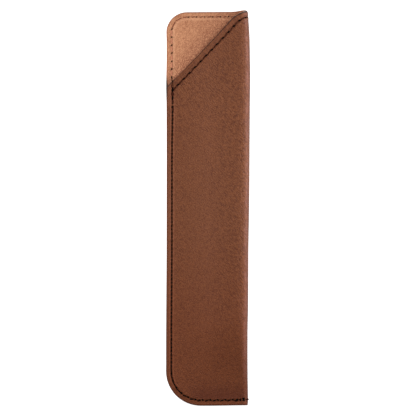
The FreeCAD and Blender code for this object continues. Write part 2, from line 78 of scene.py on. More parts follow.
easeStartY = top - ease * (math.cos(mouthEnd) - math.cos(mouthTurn))
easeX = left + (easeStartY - mouthLeftY) / math.tan(mouthTurn) + ease * math.sin(mouthTurn)
easeY = easeStartY - ease * math.cos(mouthTurn)
fullRadius = ply + caseForm.pocketGap / 2
flatRadius = ply + bond / 2
fullFoldX, flatFoldX = right - fullRadius, right - flatRadius
nudge = 0.01  # the step that slopes are measured over


def smooth(share):
    share = np.clip(share, 0.0, 1.0)
    return share * share * (3 - 2 * share)


# From 0 at the start to 1 after the run, which is negative where it climbs towards lower values
def ramp(place, start, run):
    return smooth((place - start) / run)


# Falls off to both sides, with a reach of its own below zero where one is given
def bell(distance, reach, reachBelow=None):
    if reachBelow is not None:
        reach = np.where(distance > 0, reach, reachBelow)
    return np.exp(-(distance / reach) ** 2)


def most(*shades):
    return np.maximum.reduce(shades)


def unitLength(vectors):
    return vectors / np.linalg.norm(vectors, axis=-1, keepdims=True)


def slope(height, place):
    return (height(place + nudge) - height(place - nudge)) / (2 * nudge)


def foldRadius(y):
    opened = ramp(y, flatY, caseForm.pinchLength)
    return ply + (bond + (caseForm.pocketGap - bond) * opened) / 2


# Height of the front panel's outside: two tangent arcs from the fold down to the flat seam margin
def frontHeight(x, y):
    radius = foldRadius(y)
    foldX = right - radius
    rise = np.maximum(2 * radius - marginHeight, 1e-5)
    run = foldX - marginX
    sway = (run ** 2 + rise ** 2) / (4 * rise)
    crown = 2 * radius - sway + np.sqrt(sway ** 2 - np.clip(foldX - x, 0, run / 2) ** 2)
    dip = marginHeight + sway - np.sqrt(sway ** 2 - np.clip(x - marginX, 0, run / 2) ** 2)
    return np.where(x > (foldX + marginX) / 2, crown, dip)


def leftEdge(y, inset):
    lowY, highY = bottom + lowCorner, top - highCorner
    low, high = lowCorner - inset, highCorner - inset
    lowX = left + lowCorner - np.sqrt(np.maximum(low ** 2 - (lowY - y) ** 2, 0))
    highX = left + highCorner - np.sqrt(np.maximum(high ** 2 - (y - highY) ** 2, 0))
    return np.where(y < lowY, lowX, np.where(y > highY, highX, left + inset))


# The mouth edge's x at a height along the case: a slant, then an arc towards the fold
def mouthEdge(y, inset):
    slant = left + (y - mouthLeftY + inset / math.cos(mouthTurn)) / math.tan(mouthTurn)
    radius = ease - inset
    arc = easeX - np.sqrt(np.maximum(radius ** 2 - (y - easeY) ** 2, 0))
    return np.where(y < easeY + radius * math.cos(mouthTurn), slant, arc)


def frontEdge(y, inset):
    return np.maximum(leftEdge(np.minimum(y, 0.0), inset), mouthEdge(y, inset))


# How far inside the left and bottom edges a place is, and on the back also the tongue's top
def outlineDistance(x, y, onBack=False):
    distance = np.minimum(x - left, y - bottom)
    corners = [(lowCorner, bottom + lowCorner, -1)]
    if onBack:
        distance = np.minimum(distance, top - y)
        corners.append((highCorner, top - highCorner, 1))
    for radius, centreY, way in corners:
        beyond = (way * (y - centreY) > 0) & (x < left + radius)
        rounded = radius - np.hypot(x - left - radius, y - centreY)
        distance = np.where(beyond, rounded, distance)
    return distance


def mouthDistance(x, y):
    turn = np.arctan2(easeX - x, y - easeY)
    slant = (mouthLeftY + (x - left) * math.tan(mouthTurn) - y) * math.cos(mouthTurn)
    arc = ease - np.hypot(x - easeX, y - easeY)
    near = np.where(turn > mouthEnd, arc, top - y)
    return np.where((turn > mouthTurn) | (y < easeY), slant, near)


# How the sewn case has settled: the fold bows, the left side drifts and the front panel lies unevenly
settled = Settings(
    foldBow=[(-84, -0.22), (-79, -0.22), (-72, -0.36), (-62, -0.45), (-50, -0.45), (-42, -0.24),
             (-28, -0.17), (-16, -0.12), (-4, 0.14), (10, 0.3), (32, 0.42), (45, 0.52), (55, 0.65),
             (64, 0.55), (72, 0.38), (78, -0.03), (82.5, -0.32), (84, -0.4)],
    leftDrift=[(-84, -0.25), (-50, -0.2), (-20, 0.0), (20, 0.05), (44, 0.0), (52, -0.25), (60, 0.0),
               (70, 0.02), (76, -0.15), (80, -0.12), (84, 0.0)],
    pastMiddle=4.0,  # how far each side's drift is felt on the other half
    topTilt=0.008, topTiltY=(30, 50),
    rises={  # shift along the case, then the start and run of its share in x, y and, for the back, z
        "tip": (-0.08, (11, 4), (76, 5), None),
        "back": (0.8, (10.5, 6), (70, 10), (6, -5)),  # its corner at the fold stands past the front's
        "bottom": (0.18, (0, 16), (-68, -12), None),
    },
    unevenness=0.1, unevenZ=(3.4, 3.0),
    longRipple=Settings(across=6.3, swing=0.7, sway=13.0, shift=0.6, along=15.5, drift=21.0, start=1.9),
    crossRipple=Settings(share=0.6, along=7.1, across=5.2, fading=29.0, start=0.4),
    blur=3,
)
knotLine = np.arange(-84.0, 84.5, 0.5)
softening = np.hanning(8 * settled.blur + 1)
softening /= softening.sum()


def easedKnots(name):
    stations, offsets = zip(*settled[name])
    padded = np.pad(np.interp(knotLine, stations, offsets), len(softening) // 2, mode="edge")
    return np.convolve(padded, softening, mode="valid")


foldBow, leftDrift = easedKnots("foldBow"), easedKnots("leftDrift")


def settle(points):
    x, y, z = points[..., 0], points[..., 1], points[..., 2]
    past = settled.pastMiddle
    shiftX = np.interp(y, knotLine, foldBow) * ramp(x, -past, right + past)
    shiftX = shiftX + np.interp(y, knotLine, leftDrift) * ramp(x, past, -right - past)
    shiftY = settled.topTilt * x * ramp(y, *settled.topTiltY)
    for rise, inX, inY, inZ in settled.rises.values():
        shift = rise * ramp(x, *inX) * ramp(y, *inY)
        shiftY = shiftY + (shift * ramp(z, *inZ) if inZ else shift)
    wave, cross = settled.longRipple, settled.crossRipple
    ripple = np.sin(x / wave.across + wave.swing * np.sin(y / wave.sway) + wave.shift)
    ripple = ripple * np.sin(y / wave.along + x / wave.drift + wave.start)
    crossing = cross.share * np.sin(y / cross.along - x / cross.across)
    ripple = ripple + crossing * np.sin(y / cross.fading + cross.start)
    shiftZ = settled.unevenness * ripple * ramp(z, *settled.unevenZ)
    return np.stack([x + shiftX, y + shiftY, z + shiftZ], axis=-1)


# Mesh helpers


def addObject(name, data):
    item = bpy.data.objects.new(name, data)
    bpy.context.scene.collection.objects.link(item)
    return item


def storeNumbers(mesh, label, numbers, kind="FLOAT", field="value"):
    layer = mesh.attributes.new(label, kind, "POINT")
    layer.data.foreach_set(field, np.asarray(numbers, dtype=np.float32).ravel())


def meshObject(name, points, faces, material, attributes=None):
    fans = [(face[0], *face[side:side + 2]) for face in faces for side in range(1, len(face) - 1)]
    first, second, third = points[np.array(fans).T]
    if np.einsum("ij,ij->", first, np.cross(second, third)) < 0:
        faces = [tuple(reversed(face)) for face in faces]
    mesh = bpy.data.meshes.new(name)
    mesh.from_pydata((points * millimetre).tolist(), [], faces)
    for label, numbers in (attributes or {}).items():
        storeNumbers(mesh, label, numbers)
    mesh.polygons.foreach_set("use_smooth", np.ones(len(mesh.polygons), dtype=bool))
    mesh.materials.append(material)
    mesh.update()
    return addObject(name, mesh)


# A closed skin between two grids of the same size, one for each face of a sheet
def shellFaces(rows, columns):
    front = np.arange(rows * columns).reshape(rows, columns)
    back = front + rows * columns
    rim = np.concatenate([front[:-1, 0], front[-1, :-1], front[:0:-1, -1], front[0, :0:-1]])
    following = np.roll(rim, -1)
    quads = [
        (front[:-1, :-1], front[1:, :-1], front[1:, 1:], front[:-1, 1:]),
        (back[:-1, :-1], back[:-1, 1:], back[1:, 1:], back[1:, :-1]),
        (following, rim, rim + rows * columns, following + rows * columns),
    ]
    return np.concatenate([np.stack(quad, axis=-1).reshape(-1, 4) for quad in quads]).tolist()


# A sheet's outer and inner skin as one piece, with shades only on the skin that is shown
def sheetPiece(name, skins, shown, material, shades):
    points = settle(np.concatenate([skin.reshape(-1, 3) for skin in skins]))
    marks = {label: np.roll([shade, 0 * shade], shown, axis=0) for label, shade in shades.items()}
    return meshObject(name, points, shellFaces(*skins[0].shape[:2]), material, marks)


# A ribbon of closed sections with capped ends
def ribbonFaces(sections, around):
    index = np.arange(sections * around).reshape(sections, around)
    following = np.roll(index, -1, axis=1)
    sides = np.stack([index[:-1], index[1:], following[1:], following[:-1]], axis=-1)
    return sides.reshape(-1, 4).tolist() + [index[0].tolist(), index[-1, ::-1].tolist()]


def ribbonPiece(name, sections, material, shades=None):
    count, around = sections.shape[:2]
    marks = {label: np.repeat(shade, around) for label, shade in (shades or {}).items()}
    return meshObject(name, settle(sections.reshape(-1, 3)), ribbonFaces(count, around), material, marks)


def nearest(points, samples):
    tree = KDTree(len(samples))
    for index, place in enumerate(samples):
        tree.insert(place, index)
    tree.balance()
    found = [tree.find(place) for place in points]
    return np.array([hit[2] for hit in found]), np.array([hit[1] for hit in found])


# The sheet as a grid: rows along the case, columns from the back's left edge around the fold to the front
cornerShare = 0.9  # how far up a corner its rows keep to even turns
shortestRow = 0.4  # a last step below this share of the pitch joins the one before


def rowLine(look):
    kink = mouthLeftY + coat * math.tan(mouthTurn) - coat / math.cos(mouthTurn)

    def climb(corner, reach):
        steps = [0.0]
        while steps[-1] < reach:
            here = steps[-1]
            step = look.fineRowPitch if here < look.fineReach else look.rowPitch
            if here < cornerShare * corner:
                bend = math.acos(1 - here / corner) + look.cornerTurn
                step = min(step, corner * (1 - math.cos(min(bend, math.pi / 2))) - here)
            steps.append(here + step)
        steps[-1] = reach
        if reach - steps[-2] < shortestRow * look.rowPitch:
            steps.pop(-2)
        return np.array(steps)

    low, high = bottom + coat, top - coat
    lower = low + climb(lowCorner - coat, kink - low)
    upper = high - climb(highCorner - coat, high - kink)
    return np.concatenate([lower, upper[::-1][1:]]), len(lower) - 1


# The sheet's outside, its outward ways, its distance from the edge, and the row of the mouth's low end
def sheetGrid(look):
    rows, kinkRow = rowLine(look)
    y = rows[:, None]
    edgeSteps = np.array(look.edgeSteps)
    reach = edgeSteps[-1]
    radius = foldRadius(y)
    foldX = right - radius
    startX = leftEdge(y, coat)
    inner = np.arange(1, look.backSteps + 1) / look.backSteps
    backX = np.concatenate([startX + edgeSteps, startX + reach + inner * (foldX - startX - reach)], axis=1)
    endX = frontEdge(y, coat)
    onFold = np.arccos(np.clip((endX - foldX) / radius, 0, 1))
    travelEnd = np.where(endX > foldX, radius * (onFold + math.pi / 2), radius * math.pi + foldX - endX)
    inner = np.arange(1, look.frontSteps + 1) / look.frontSteps
    travel = np.concatenate([inner * (travelEnd - reach), travelEnd - edgeSteps[-2::-1]], axis=1)
    angle = np.minimum(travel / radius, math.pi) - math.pi / 2
    panelX = foldX - np.maximum(travel - radius * math.pi, 0)
    folded = travel < radius * math.pi
    frontX = np.where(folded, foldX + radius * np.cos(angle), panelX)
    frontZ = np.where(folded, radius + radius * np.sin(angle), frontHeight(panelX, y))
    x = np.concatenate([backX, frontX], axis=1)
    z = np.concatenate([np.zeros_like(backX), frontZ], axis=1)
    wideY = np.broadcast_to(y, x.shape)
    slopeX = slope(lambda nearX: frontHeight(nearX, y), panelX)
    slopeY = slope(lambda nearY: frontHeight(panelX, nearY), y)
    frontOut = np.stack([
        np.where(folded, np.cos(angle), -slopeX),
        np.where(folded, -slope(foldRadius, y) * (1 - np.cos(angle) + np.sin(angle)), -slopeY),
        np.where(folded, np.sin(angle), 1.0)], axis=-1)
    backOut = np.broadcast_to([0.0, 0.0, -1.0], backX.shape + (3,))
    isFront = np.concatenate([np.zeros_like(backX, dtype=bool), angle > 0], axis=1)
    frontDistance = np.minimum(outlineDistance(x, wideY), mouthDistance(x, wideY))
    edge = np.where(isFront, frontDistance, outlineDistance(x, wideY, onBack=True)) - coat
    out = unitLength(np.concatenate([backOut, frontOut], axis=1))
    return np.stack([x, wideY, z], axis=-1), out, np.maximum(edge, 0), kinkRow


print("form: fold radius", round(fullRadius, 2), "mm, mouth eases at", round(easeStartY, 2), "mm")

# Seams
lineStep = 0.1
mouthSeam = Settings(
    slantInset=2.79,
    tipRise=0.35,  # how much nearer the edge it runs at the fold
    tipX=(9, 8),
    tongueInset=2.12,
    tongueSideInset=2.24,
    startX=left + 2.7,
    backStartX=fullFoldX - 0.2,
    endY=mouthLeftY + 4.5,
    frontPitch=3.42,
    backPitch=3.32,
    samples=(500, 180, 60),  # on the slant, around the fold and around the corner
)
closingSeam = Settings(
    sideInset=2.25,
    bottomInset=2.3,
    startY=mouthLeftY - 2.3,
    startShift=0.39,
    shiftY=(20.0, 30.0),
    cornerEndX=-9.9,
    endX=13.95,
    pitch=3.17,
    samples=80,
)


# Evenly spaced rows along a line whose first three columns are its places
def resample(line):
    travel = np.concatenate([[0], np.cumsum(np.linalg.norm(np.diff(line[:, :3], axis=0), axis=1))])
    marks = np.linspace(0, travel[-1], max(2, round(travel[-1] / lineStep) + 1))
    return np.stack([np.interp(marks, travel, column) for column in line.T], axis=1)


# A quarter turn about the centre of one of the left corners
def quarterTurn(corner, centreY, sideInset, endInset, start, steps):
    bend = np.radians(np.linspace(start, start + 90, steps))
    return left + corner + (corner - sideInset) * np.cos(bend), centreY + (corner - endInset) * np.sin(bend)


# The mouth seam as the sheet's outside points and outward ways: front slant, fold, back's top and left
def mouthSeamLine():
    inset, tongue, side = mouthSeam.slantInset, mouthSeam.tongueInset, mouthSeam.tongueSideInset
    seamTop = top - tongue
    slantSamples, foldSamples, cornerSamples = mouthSeam.samples

    def seamY(x):
        slant = mouthLeftY + (x - left) * math.tan(mouthTurn) - inset / math.cos(mouthTurn)
        radius = ease - inset
        arc = easeY + np.sqrt(np.maximum(radius ** 2 - (easeX - x) ** 2, 0))
        arc = arc + mouthSeam.tipRise * ramp(x, *mouthSeam.tipX)
        return np.minimum(np.where(x < easeX - radius * math.sin(mouthTurn), slant, arc), seamTop)

    x = np.linspace(mouthSeam.startX, fullFoldX, slantSamples)
    y = seamY(x)
    lean = -slope(lambda nearX: frontHeight(nearX, y), x)
    front = [x, y, frontHeight(x, y), lean, np.zeros_like(x), np.ones_like(x)]
    angle = np.radians(np.linspace(89, -90, foldSamples))
    cosine, sine = np.cos(angle), np.sin(angle)
    foldX = fullFoldX + fullRadius * cosine
    tipY = seamY(right)
    foldY = np.where(angle > 0, seamY(foldX), tipY + (seamTop - tipY) * smooth(-2 * angle / math.pi))
    fold = [foldX, foldY, fullRadius * (1 + sine), cosine, np.zeros_like(angle), sine]
    turnX, turnY = quarterTurn(highCorner, top - highCorner, side, tongue, 90, cornerSamples)
    backX = np.concatenate([[mouthSeam.backStartX], turnX, [left + side]])
    backY = np.concatenate([[seamTop], turnY, [mouthSeam.endY]])
    level = np.zeros_like(backX)
    back = [backX, backY, level, level, level, level - 1]
    line = resample(np.concatenate([front, fold, back], axis=1).T)
    return line[:, :3], unitLength(line[:, 3:])


def closingSeamLine():
    side, low = closingSeam.sideInset, closingSeam.bottomInset
    sideY = np.linspace(closingSeam.startY, bottom + lowCorner, closingSeam.samples)
    drawnIn = closingSeam.startShift * ramp(sideY, *closingSeam.shiftY)
    turnX, turnY = quarterTurn(lowCorner, bottom + lowCorner, side, low, 180, closingSeam.samples)
    x = np.concatenate([left + side + drawnIn, turnX, [closingSeam.endX]])
    y = np.concatenate([sideY, turnY, [bottom + low]])
    line = resample(np.stack([x, y, np.full_like(x, marginHeight)], axis=1))
    return line, np.tile([0.0, 0.0, 1.0], (len(line), 1))


def seamHoles(length, pitch):
    return np.round(np.linspace(0, length, max(2, round(length * lineStep / pitch)) + 1)).astype(int)


mouthLine, mouthOut = mouthSeamLine()
mouthInside = mouthLine - mouthOut * ply
foldMiddle = np.argmax(mouthLine[:, 0])
frontHoles = seamHoles(foldMiddle, mouthSeam.frontPitch)
backHoles = len(mouthLine) - 1 - seamHoles(len(mouthLine) - 1 - foldMiddle, mouthSeam.backPitch)[::-1]
mouthHoles = np.concatenate([frontHoles, backHoles[1:]])
closingLine, closingOut = closingSeamLine()
closingHoles = seamHoles(len(closingLine) - 1, closingSeam.pitch)
closingBack = closingLine - closingOut * marginHeight
print("seams:", len(mouthHoles), "mouth holes,", len(closingHoles), "closing holes")

# Materials


# A node's output, which can be reckoned with like a number
class Signal:
    def __init__(self, socket):
        self.socket = socket
        self.tree = socket.id_data

    def also(self, label):
        return Signal(self.socket.node.outputs[label])

    def reckon(self, way, other=0.0):
        return addNode(self.tree, "ShaderNodeMath", {0: self, 1: other}, operation=way)

    def __add__(self, other):
        return self.reckon("ADD", other)

    def __sub__(self, other):
        return self.reckon("SUBTRACT", other)

    def __mul__(self, other):
        return self.reckon("MULTIPLY", other)


# Adds a node and gives one of its outputs; an input takes a signal, a list of signals or a plain value
def addNode(tree, kind, inputs=None, take=0, **settings):
    node = tree.nodes.new(kind)
    for key, choice in settings.items():
        setattr(node, key, choice)
    for key, given in (inputs or {}).items():
        for source in given if isinstance(given, list) else [given]:
            if isinstance(source, Signal):
                tree.links.new(source.socket, node.inputs[key])
            else:
                node.inputs[key].default_value = source
    return Signal(node.outputs[take]) if len(node.outputs) else None


def noise(place, scale, detail, roughness=0.5):
    return addNode(place.tree, "ShaderNodeTexNoise",
                   {"Vector": place, "Scale": scale, "Detail": detail, "Roughness": roughness})


# Streaks: noise that is turned by some degrees and then stretched
def streaks(place, turn, stretch, detail):
    turned = addNode(place.tree, "ShaderNodeMapping",
                     {"Vector": place, "Rotation": (0.0, 0.0, math.radians(turn))})
    stretched = addNode(place.tree, "ShaderNodeMapping", {"Vector": turned, "Scale": stretch})
    return noise(stretched, 1.0, detail)


def mixColours(share, first, second, way="MIX"):
    return addNode(share.tree, "ShaderNodeMixRGB", {"Fac": share, "Color1": first, "Color2": second},
                   blend_type=way)


def remap(given, source, target, way="LINEAR"):
    ends = dict(zip(("From Min", "From Max", "To Min", "To Max"), source + target))
    return addNode(given.tree, "ShaderNodeMapRange", {"Value": given, **ends}, interpolation_type=way)


def easedRemap(given, source, target):
    return remap(given, source, target, "SMOOTHSTEP")


def clamped(given):
    return addNode(given.tree, "ShaderNodeClamp", {"Value": given})


def bump(height, strength, distance):
    return addNode(height.tree, "ShaderNodeBump",
                   {"Strength": strength, "Distance": distance, "Height": height})


def readAttribute(tree, name):
    return addNode(tree, "ShaderNodeAttribute", take="Fac", attribute_name=name)


def fromScreen(red, green, blue):
    def linear(level):
        level /= 255
        return level / 12.92 if level <= 0.04045 else ((level + 0.055) / 1.055) ** 2.4
    return (linear(red), linear(green), linear(blue), 1.0)


def newMaterial(name):
    material = bpy.data.materials.new(name)
    material.use_nodes = True
    material.node_tree.nodes.clear()
    return material


def newFinish(name):
    material = newMaterial(name)
    return material, addNode(material.node_tree, "ShaderNodeTexCoord", take="Object")


def coated(material, inputs):
    tree = material.node_tree
    surface = addNode(tree, "ShaderNodeBsdfPrincipled", inputs)
    addNode(tree, "ShaderNodeOutputMaterial", {"Surface": surface})
    return material


fullNoise, midNoise = (0.3, 0.7), (0.35, 0.65)  # the levels that noise mostly keeps to
noToFull = (0.0, 1.0)

# Colours, then grain: scales per metre, turns in degrees, places in metres
leatherLook = Settings(
    brown=fromScreen(132, 78, 48),
    deepBrown=fromScreen(94, 50, 31),
    # a painted shade colour for the grain's valleys, the edge crease, the fold's rim and the low band, and
    # the colour of the darker edge rim
    creaseAndShadeBrown=fromScreen(84, 38, 22),
    # a painted highlight colour for the raised lips beside the seams
    highlightBrown=fromScreen(166, 102, 74),
    # a painted highlight colour for the fold's shoulder
    highlightRose=fromScreen(196, 140, 132),
    # the painted shade of the needle holes and seam grooves
    holeBrown=fromScreen(26, 10, 6),
    # a painted shade tint, darker and warmer towards the bottom end
    lowTint=(1.0, 0.86, 0.76, 1.0),
    lowEndY=(0.005, -0.065),
    broadTone=(0.1, 0.25),
    cloudTone=(-0.95, 1.15),
    wrinkleTone=4.2,
    valleyWidth=(0.0, 0.14), valleyTone=(0.3, 0.0),
    pebbleRound=(0.0, 0.35),
    grainSize=1150.0,
    grainWarp=(0.0008, 0.0008, 0.0008),
    grainDepth=0.0001,
    wrinkleTurn=48,
    wrinkleStretch=(640.0, 2200.0, 900.0),
    wrinkleX=(-0.002, 0.012), besideFold=(0.3, 1.0),
    wrinkleY=(0.02, 0.055), belowMouth=(0.3, 0.9),
    calmY=(-0.07, -0.02), calmShare=(0.35, 1.0),
    foldTurn=60,
    foldStretch=(330.0, 950.0, 600.0),
    foldX=(0.0095, 0.0135),
    cloudShine=(1.4, 0.5),
    foldShine=(1.6, 0.4),
    wrinkleHeight=3.0,
    cloudHeight=2.2,
    foldHeight=4.0,
    roughness=(0.42, 0.56),
)


def leatherFinish():
    material, place = newFinish("pebbledLeather")
    look, tree = leatherLook, material.node_tree
    placeX = addNode(tree, "ShaderNodeSeparateXYZ", {"Vector": place}, take="X")
    placeY = placeX.also("Y")
    broad = noise(place, scale=90.0, detail=3.0)
    cloud = noise(place, scale=3000.0, detail=2.0, roughness=0.6)
    warp = noise(place, scale=900.0, detail=2.0).also("Color")
    bent = addNode(tree, "ShaderNodeVectorMath", {0: warp, 1: look.grainWarp}, operation="MULTIPLY")
    bentPlace = addNode(tree, "ShaderNodeVectorMath", {0: place, 1: bent}, operation="ADD")
    pebble = addNode(tree, "ShaderNodeTexVoronoi", {"Vector": bentPlace, "Scale": look.grainSize},
                     take="Distance", feature="DISTANCE_TO_EDGE")
    pebbleTop = easedRemap(pebble, look.pebbleRound, noToFull)

    # Fine slanted wrinkles gather beside the fold and below the mouth, longer ones on the fold itself
    wrinkle = streaks(place, look.wrinkleTurn, look.wrinkleStretch, detail=2.0)
    foldLine = streaks(place, look.foldTurn, look.foldStretch, detail=1.0)
    nearFold = easedRemap(placeX, look.wrinkleX, look.besideFold)
    nearMouth = easedRemap(placeY, look.wrinkleY, look.belowMouth)
    calm = easedRemap(placeY, look.calmY, look.calmShare)
    wrinkled = (wrinkle - 0.5) * (nearFold * calm).reckon("MAXIMUM", nearMouth)
    folded = (foldLine - 0.5) * (easedRemap(placeX, look.foldX, noToFull) * calm)

    tone = remap(broad, fullNoise, look.broadTone) + remap(cloud, fullNoise, look.cloudTone)
    tone = tone - wrinkled * look.wrinkleTone
    # A painted highlight along the fold's shoulder, broken up by the grain
    shine = readAttribute(tree, "polish") * remap(cloud, midNoise, look.cloudShine)
    shine = shine * remap(foldLine, midNoise, look.foldShine)
    colour = mixColours(clamped(tone), look.brown, look.deepBrown)
    # Painted shade in the grain's valleys, painted highlight on the seam lips and the fold, painted shade in
    # the crease, on the fold's rim and above the bottom seam, and painted shade in the needle holes
    for share, shade in (
        (remap(pebble, look.valleyWidth, look.valleyTone), "creaseAndShadeBrown"),
        (readAttribute(tree, "lift"), "highlightBrown"),
        (shine, "highlightRose"),
        (readAttribute(tree, "crease"), "creaseAndShadeBrown"),
        (readAttribute(tree, "pit"), "holeBrown"),
    ):
        colour = mixColours(share, colour, look[shade])
    # Painted shade: the colour grows darker and warmer towards the bottom end
    lowShadeShare = easedRemap(placeY, look.lowEndY, noToFull)
    height = pebbleTop + wrinkled * look.wrinkleHeight + cloud * look.cloudHeight
    height = height + folded * look.foldHeight
    return coated(material, {
        "Base Color": mixColours(lowShadeShare, colour, look.lowTint, "MULTIPLY"),
        "Normal": bump(height, strength=0.9, distance=look.grainDepth),
        "Roughness": remap(cloud, fullNoise, look.roughness),
        "Specular IOR Level": 0.15,
    })


suedeLook = Settings(
    tan=fromScreen(232, 168, 127),
    shadeTan=fromScreen(182, 118, 87),
    # a painted highlight colour for the nap raised beside the seam
    highlightTan=fromScreen(252, 190, 150),
    # the painted shade of the needle holes
    holeBrown=fromScreen(52, 30, 24),
    rimBrown=fromScreen(150, 92, 68),
    # a painted shadow colour for where the front panel shades the suede by the mouth
    shadowTan=fromScreen(158, 100, 76),
    strokeTurn=-57,
    strokeStretch=(800.0, 1700.0, 1000.0),
    strokeRange=(0.3, 0.72), strokeTone=(0.2, 0.6),
    napTone=(-0.5, 0.58),
    broadTone=(-0.1, 0.2),
    wornNap=(0.0, 2.0),
    napShare=0.5,
    napDepth=0.0002,
)


def suedeFinish():
    material, place = newFinish("nappedSuede")
    look, tree = suedeLook, material.node_tree
    # Short strokes of nap, brushed up to the right
    stroke = streaks(place, look.strokeTurn, look.strokeStretch, detail=2.0)
    nap = noise(place, scale=2600.0, detail=3.0, roughness=0.6)
    broad = noise(place, scale=160.0, detail=2.0)
    tone = remap(stroke, look.strokeRange, look.strokeTone) + remap(nap, fullNoise, look.napTone)
    tone = tone + remap(broad, fullNoise, look.broadTone)
    colour = mixColours(clamped(tone), look.tan, look.shadeTan)
    for share, shade in (
        (readAttribute(tree, "lift"), "highlightTan"),
        # Painted shadow of the front panel on the suede beside the mouth
        (readAttribute(tree, "wearAndShade") * remap(nap, midNoise, look.wornNap), "shadowTan"),
        (readAttribute(tree, "crease"), "rimBrown"),
        (readAttribute(tree, "pit"), "holeBrown"),
    ):
        colour = mixColours(share, colour, look[shade])
    return coated(material, {
        "Base Color": colour,
        "Normal": bump(stroke + nap * look.napShare, strength=0.7, distance=look.napDepth),
        "Roughness": 0.95,
        "Specular IOR Level": 0.08,
        "Sheen Weight": 0.1,
        "Sheen Roughness": 0.5,
    })


edgeLook = Settings(
    soot=fromScreen(40, 34, 28),
    russet=fromScreen(100, 50, 32),
    tongueBrown=fromScreen(172, 114, 86),
    wornRange=(0.35, 0.75), wornTone=(0.0, 0.35),
    wornDepth=0.00005,
    roughness=(0.45, 0.62),
)


def edgeFinish():
    material, place = newFinish("edgePaint")
    look, tree = edgeLook, material.node_tree
    wearAndShade = noise(place, scale=900.0, detail=4.0, roughness=0.6)
    rubbed = remap(wearAndShade, look.wornRange, look.wornTone)
    colour = mixColours(readAttribute(tree, "tongue"), look.russet, look.tongueBrown)
    colour = mixColours(readAttribute(tree, "soot"), colour, look.soot)
    return coated(material, {
        "Base Color": mixColours(rubbed, colour, leatherLook.deepBrown),
        "Normal": bump(wearAndShade, strength=0.4, distance=look.wornDepth),
        "Roughness": remap(wearAndShade, fullNoise, look.roughness),
        "Specular IOR Level": 0.15,
    })


# The dark colour paints the shade on a stitch's ends where they dive into the holes, and darkens the knots
threadLooks = {  # two fibre colours, and the dark of the ends and knots
    "darkThread": (fromScreen(84, 43, 31), fromScreen(52, 24, 17), fromScreen(7, 3, 2)),
    "tanThread": (fromScreen(224, 154, 128), fromScreen(200, 132, 108), fromScreen(122, 66, 48)),
}
fibreDepth = 0.00004
threadEnd = (0.35, 0.9)  # the dip over which a stitch darkens


def threadFinish(name):
    material, place = newFinish(name)
    light, shade, deep = threadLooks[name]
    fibre = noise(place, scale=3500.0, detail=3.0, roughness=0.6)
    colour = mixColours(remap(fibre, fullNoise, noToFull), light, shade)
    # Painted shade on the ends where the stitch dives into its hole
    ends = remap(readAttribute(place.tree, "dip"), threadEnd, noToFull)
    hidden = ends.reckon("MAXIMUM", readAttribute(place.tree, "knot"))
    return coated(material, {
        "Base Color": mixColours(hidden, colour, deep),
        "Normal": bump(fibre, strength=0.4, distance=fibreDepth),
        "Roughness": 0.75,
        "Specular IOR Level": 0.04,
    })


def glueFinish():
    material, place = newFinish("seamGlue")
    cure = noise(place, scale=400.0, detail=3.0)
    colour = mixColours(cure, fromScreen(205, 176, 134), fromScreen(180, 148, 104))
    return coated(material, {"Base Color": colour, "Roughness": 0.6})


leather, suede, edgePaint, glue = leatherFinish(), suedeFinish(), edgeFinish(), glueFinish()
darkThread, tanThread = (threadFinish(name) for name in threadLooks)
print("finishes: leather, suede, edge paint, glue and two threads")

# How a seam marks a sheet, with dips, painted shade and painted highlight: strengths are set for each sheet,
# and reaches here in millimetres
seamLook = Settings(
    width=4.6,
    grooveReach=0.32,
    shadeReach=0.25,
    holeReach=0.34,
    holeLength=0.55,
    lipInset=0.66,
    lipReach=0.27,
    lipShare=0.6,
    lipLength=0.8,
)


# How deep each point of a skin sinks towards the sheet's middle, how much painted shade it takes in the
# seam's groove and holes, and how much painted highlight on the lips beside it
def seamMarks(skin, edge, seams, look):
    seam = seamLook
    sink, pit, lift = np.zeros(edge.shape), np.zeros(edge.shape), np.zeros(edge.shape)
    close = edge < seam.width
    for line, holes, shade, holeShade, liftShade in seams:
        beside, sample = nearest(skin[close], line)
        toHole = lineStep * np.abs(sample[:, None] - holes[None, :]).min(axis=1)
        atHole = bell(beside, seam.holeReach) * bell(toHole, seam.holeLength)
        lipped = seam.lipShare + (1 - seam.lipShare) * bell(toHole, seam.lipLength)
        raised = bell(beside - seam.lipInset, seam.lipReach) * lipped
        groove = look.grooveDepth * bell(beside, seam.grooveReach)
        sink[close] += groove + look.holeDepth * atHole - look.pucker * raised
        pit[close] = most(pit[close], holeShade * atHole, shade * bell(beside, seam.shadeReach))
        lift[close] = most(lift[close], liftShade * raised)
    return sink, pit, lift


def edgeRounding(edge, look):
    return look.edgeRounding * np.clip(1 - edge / look.roundReach, 0, 1) ** 2


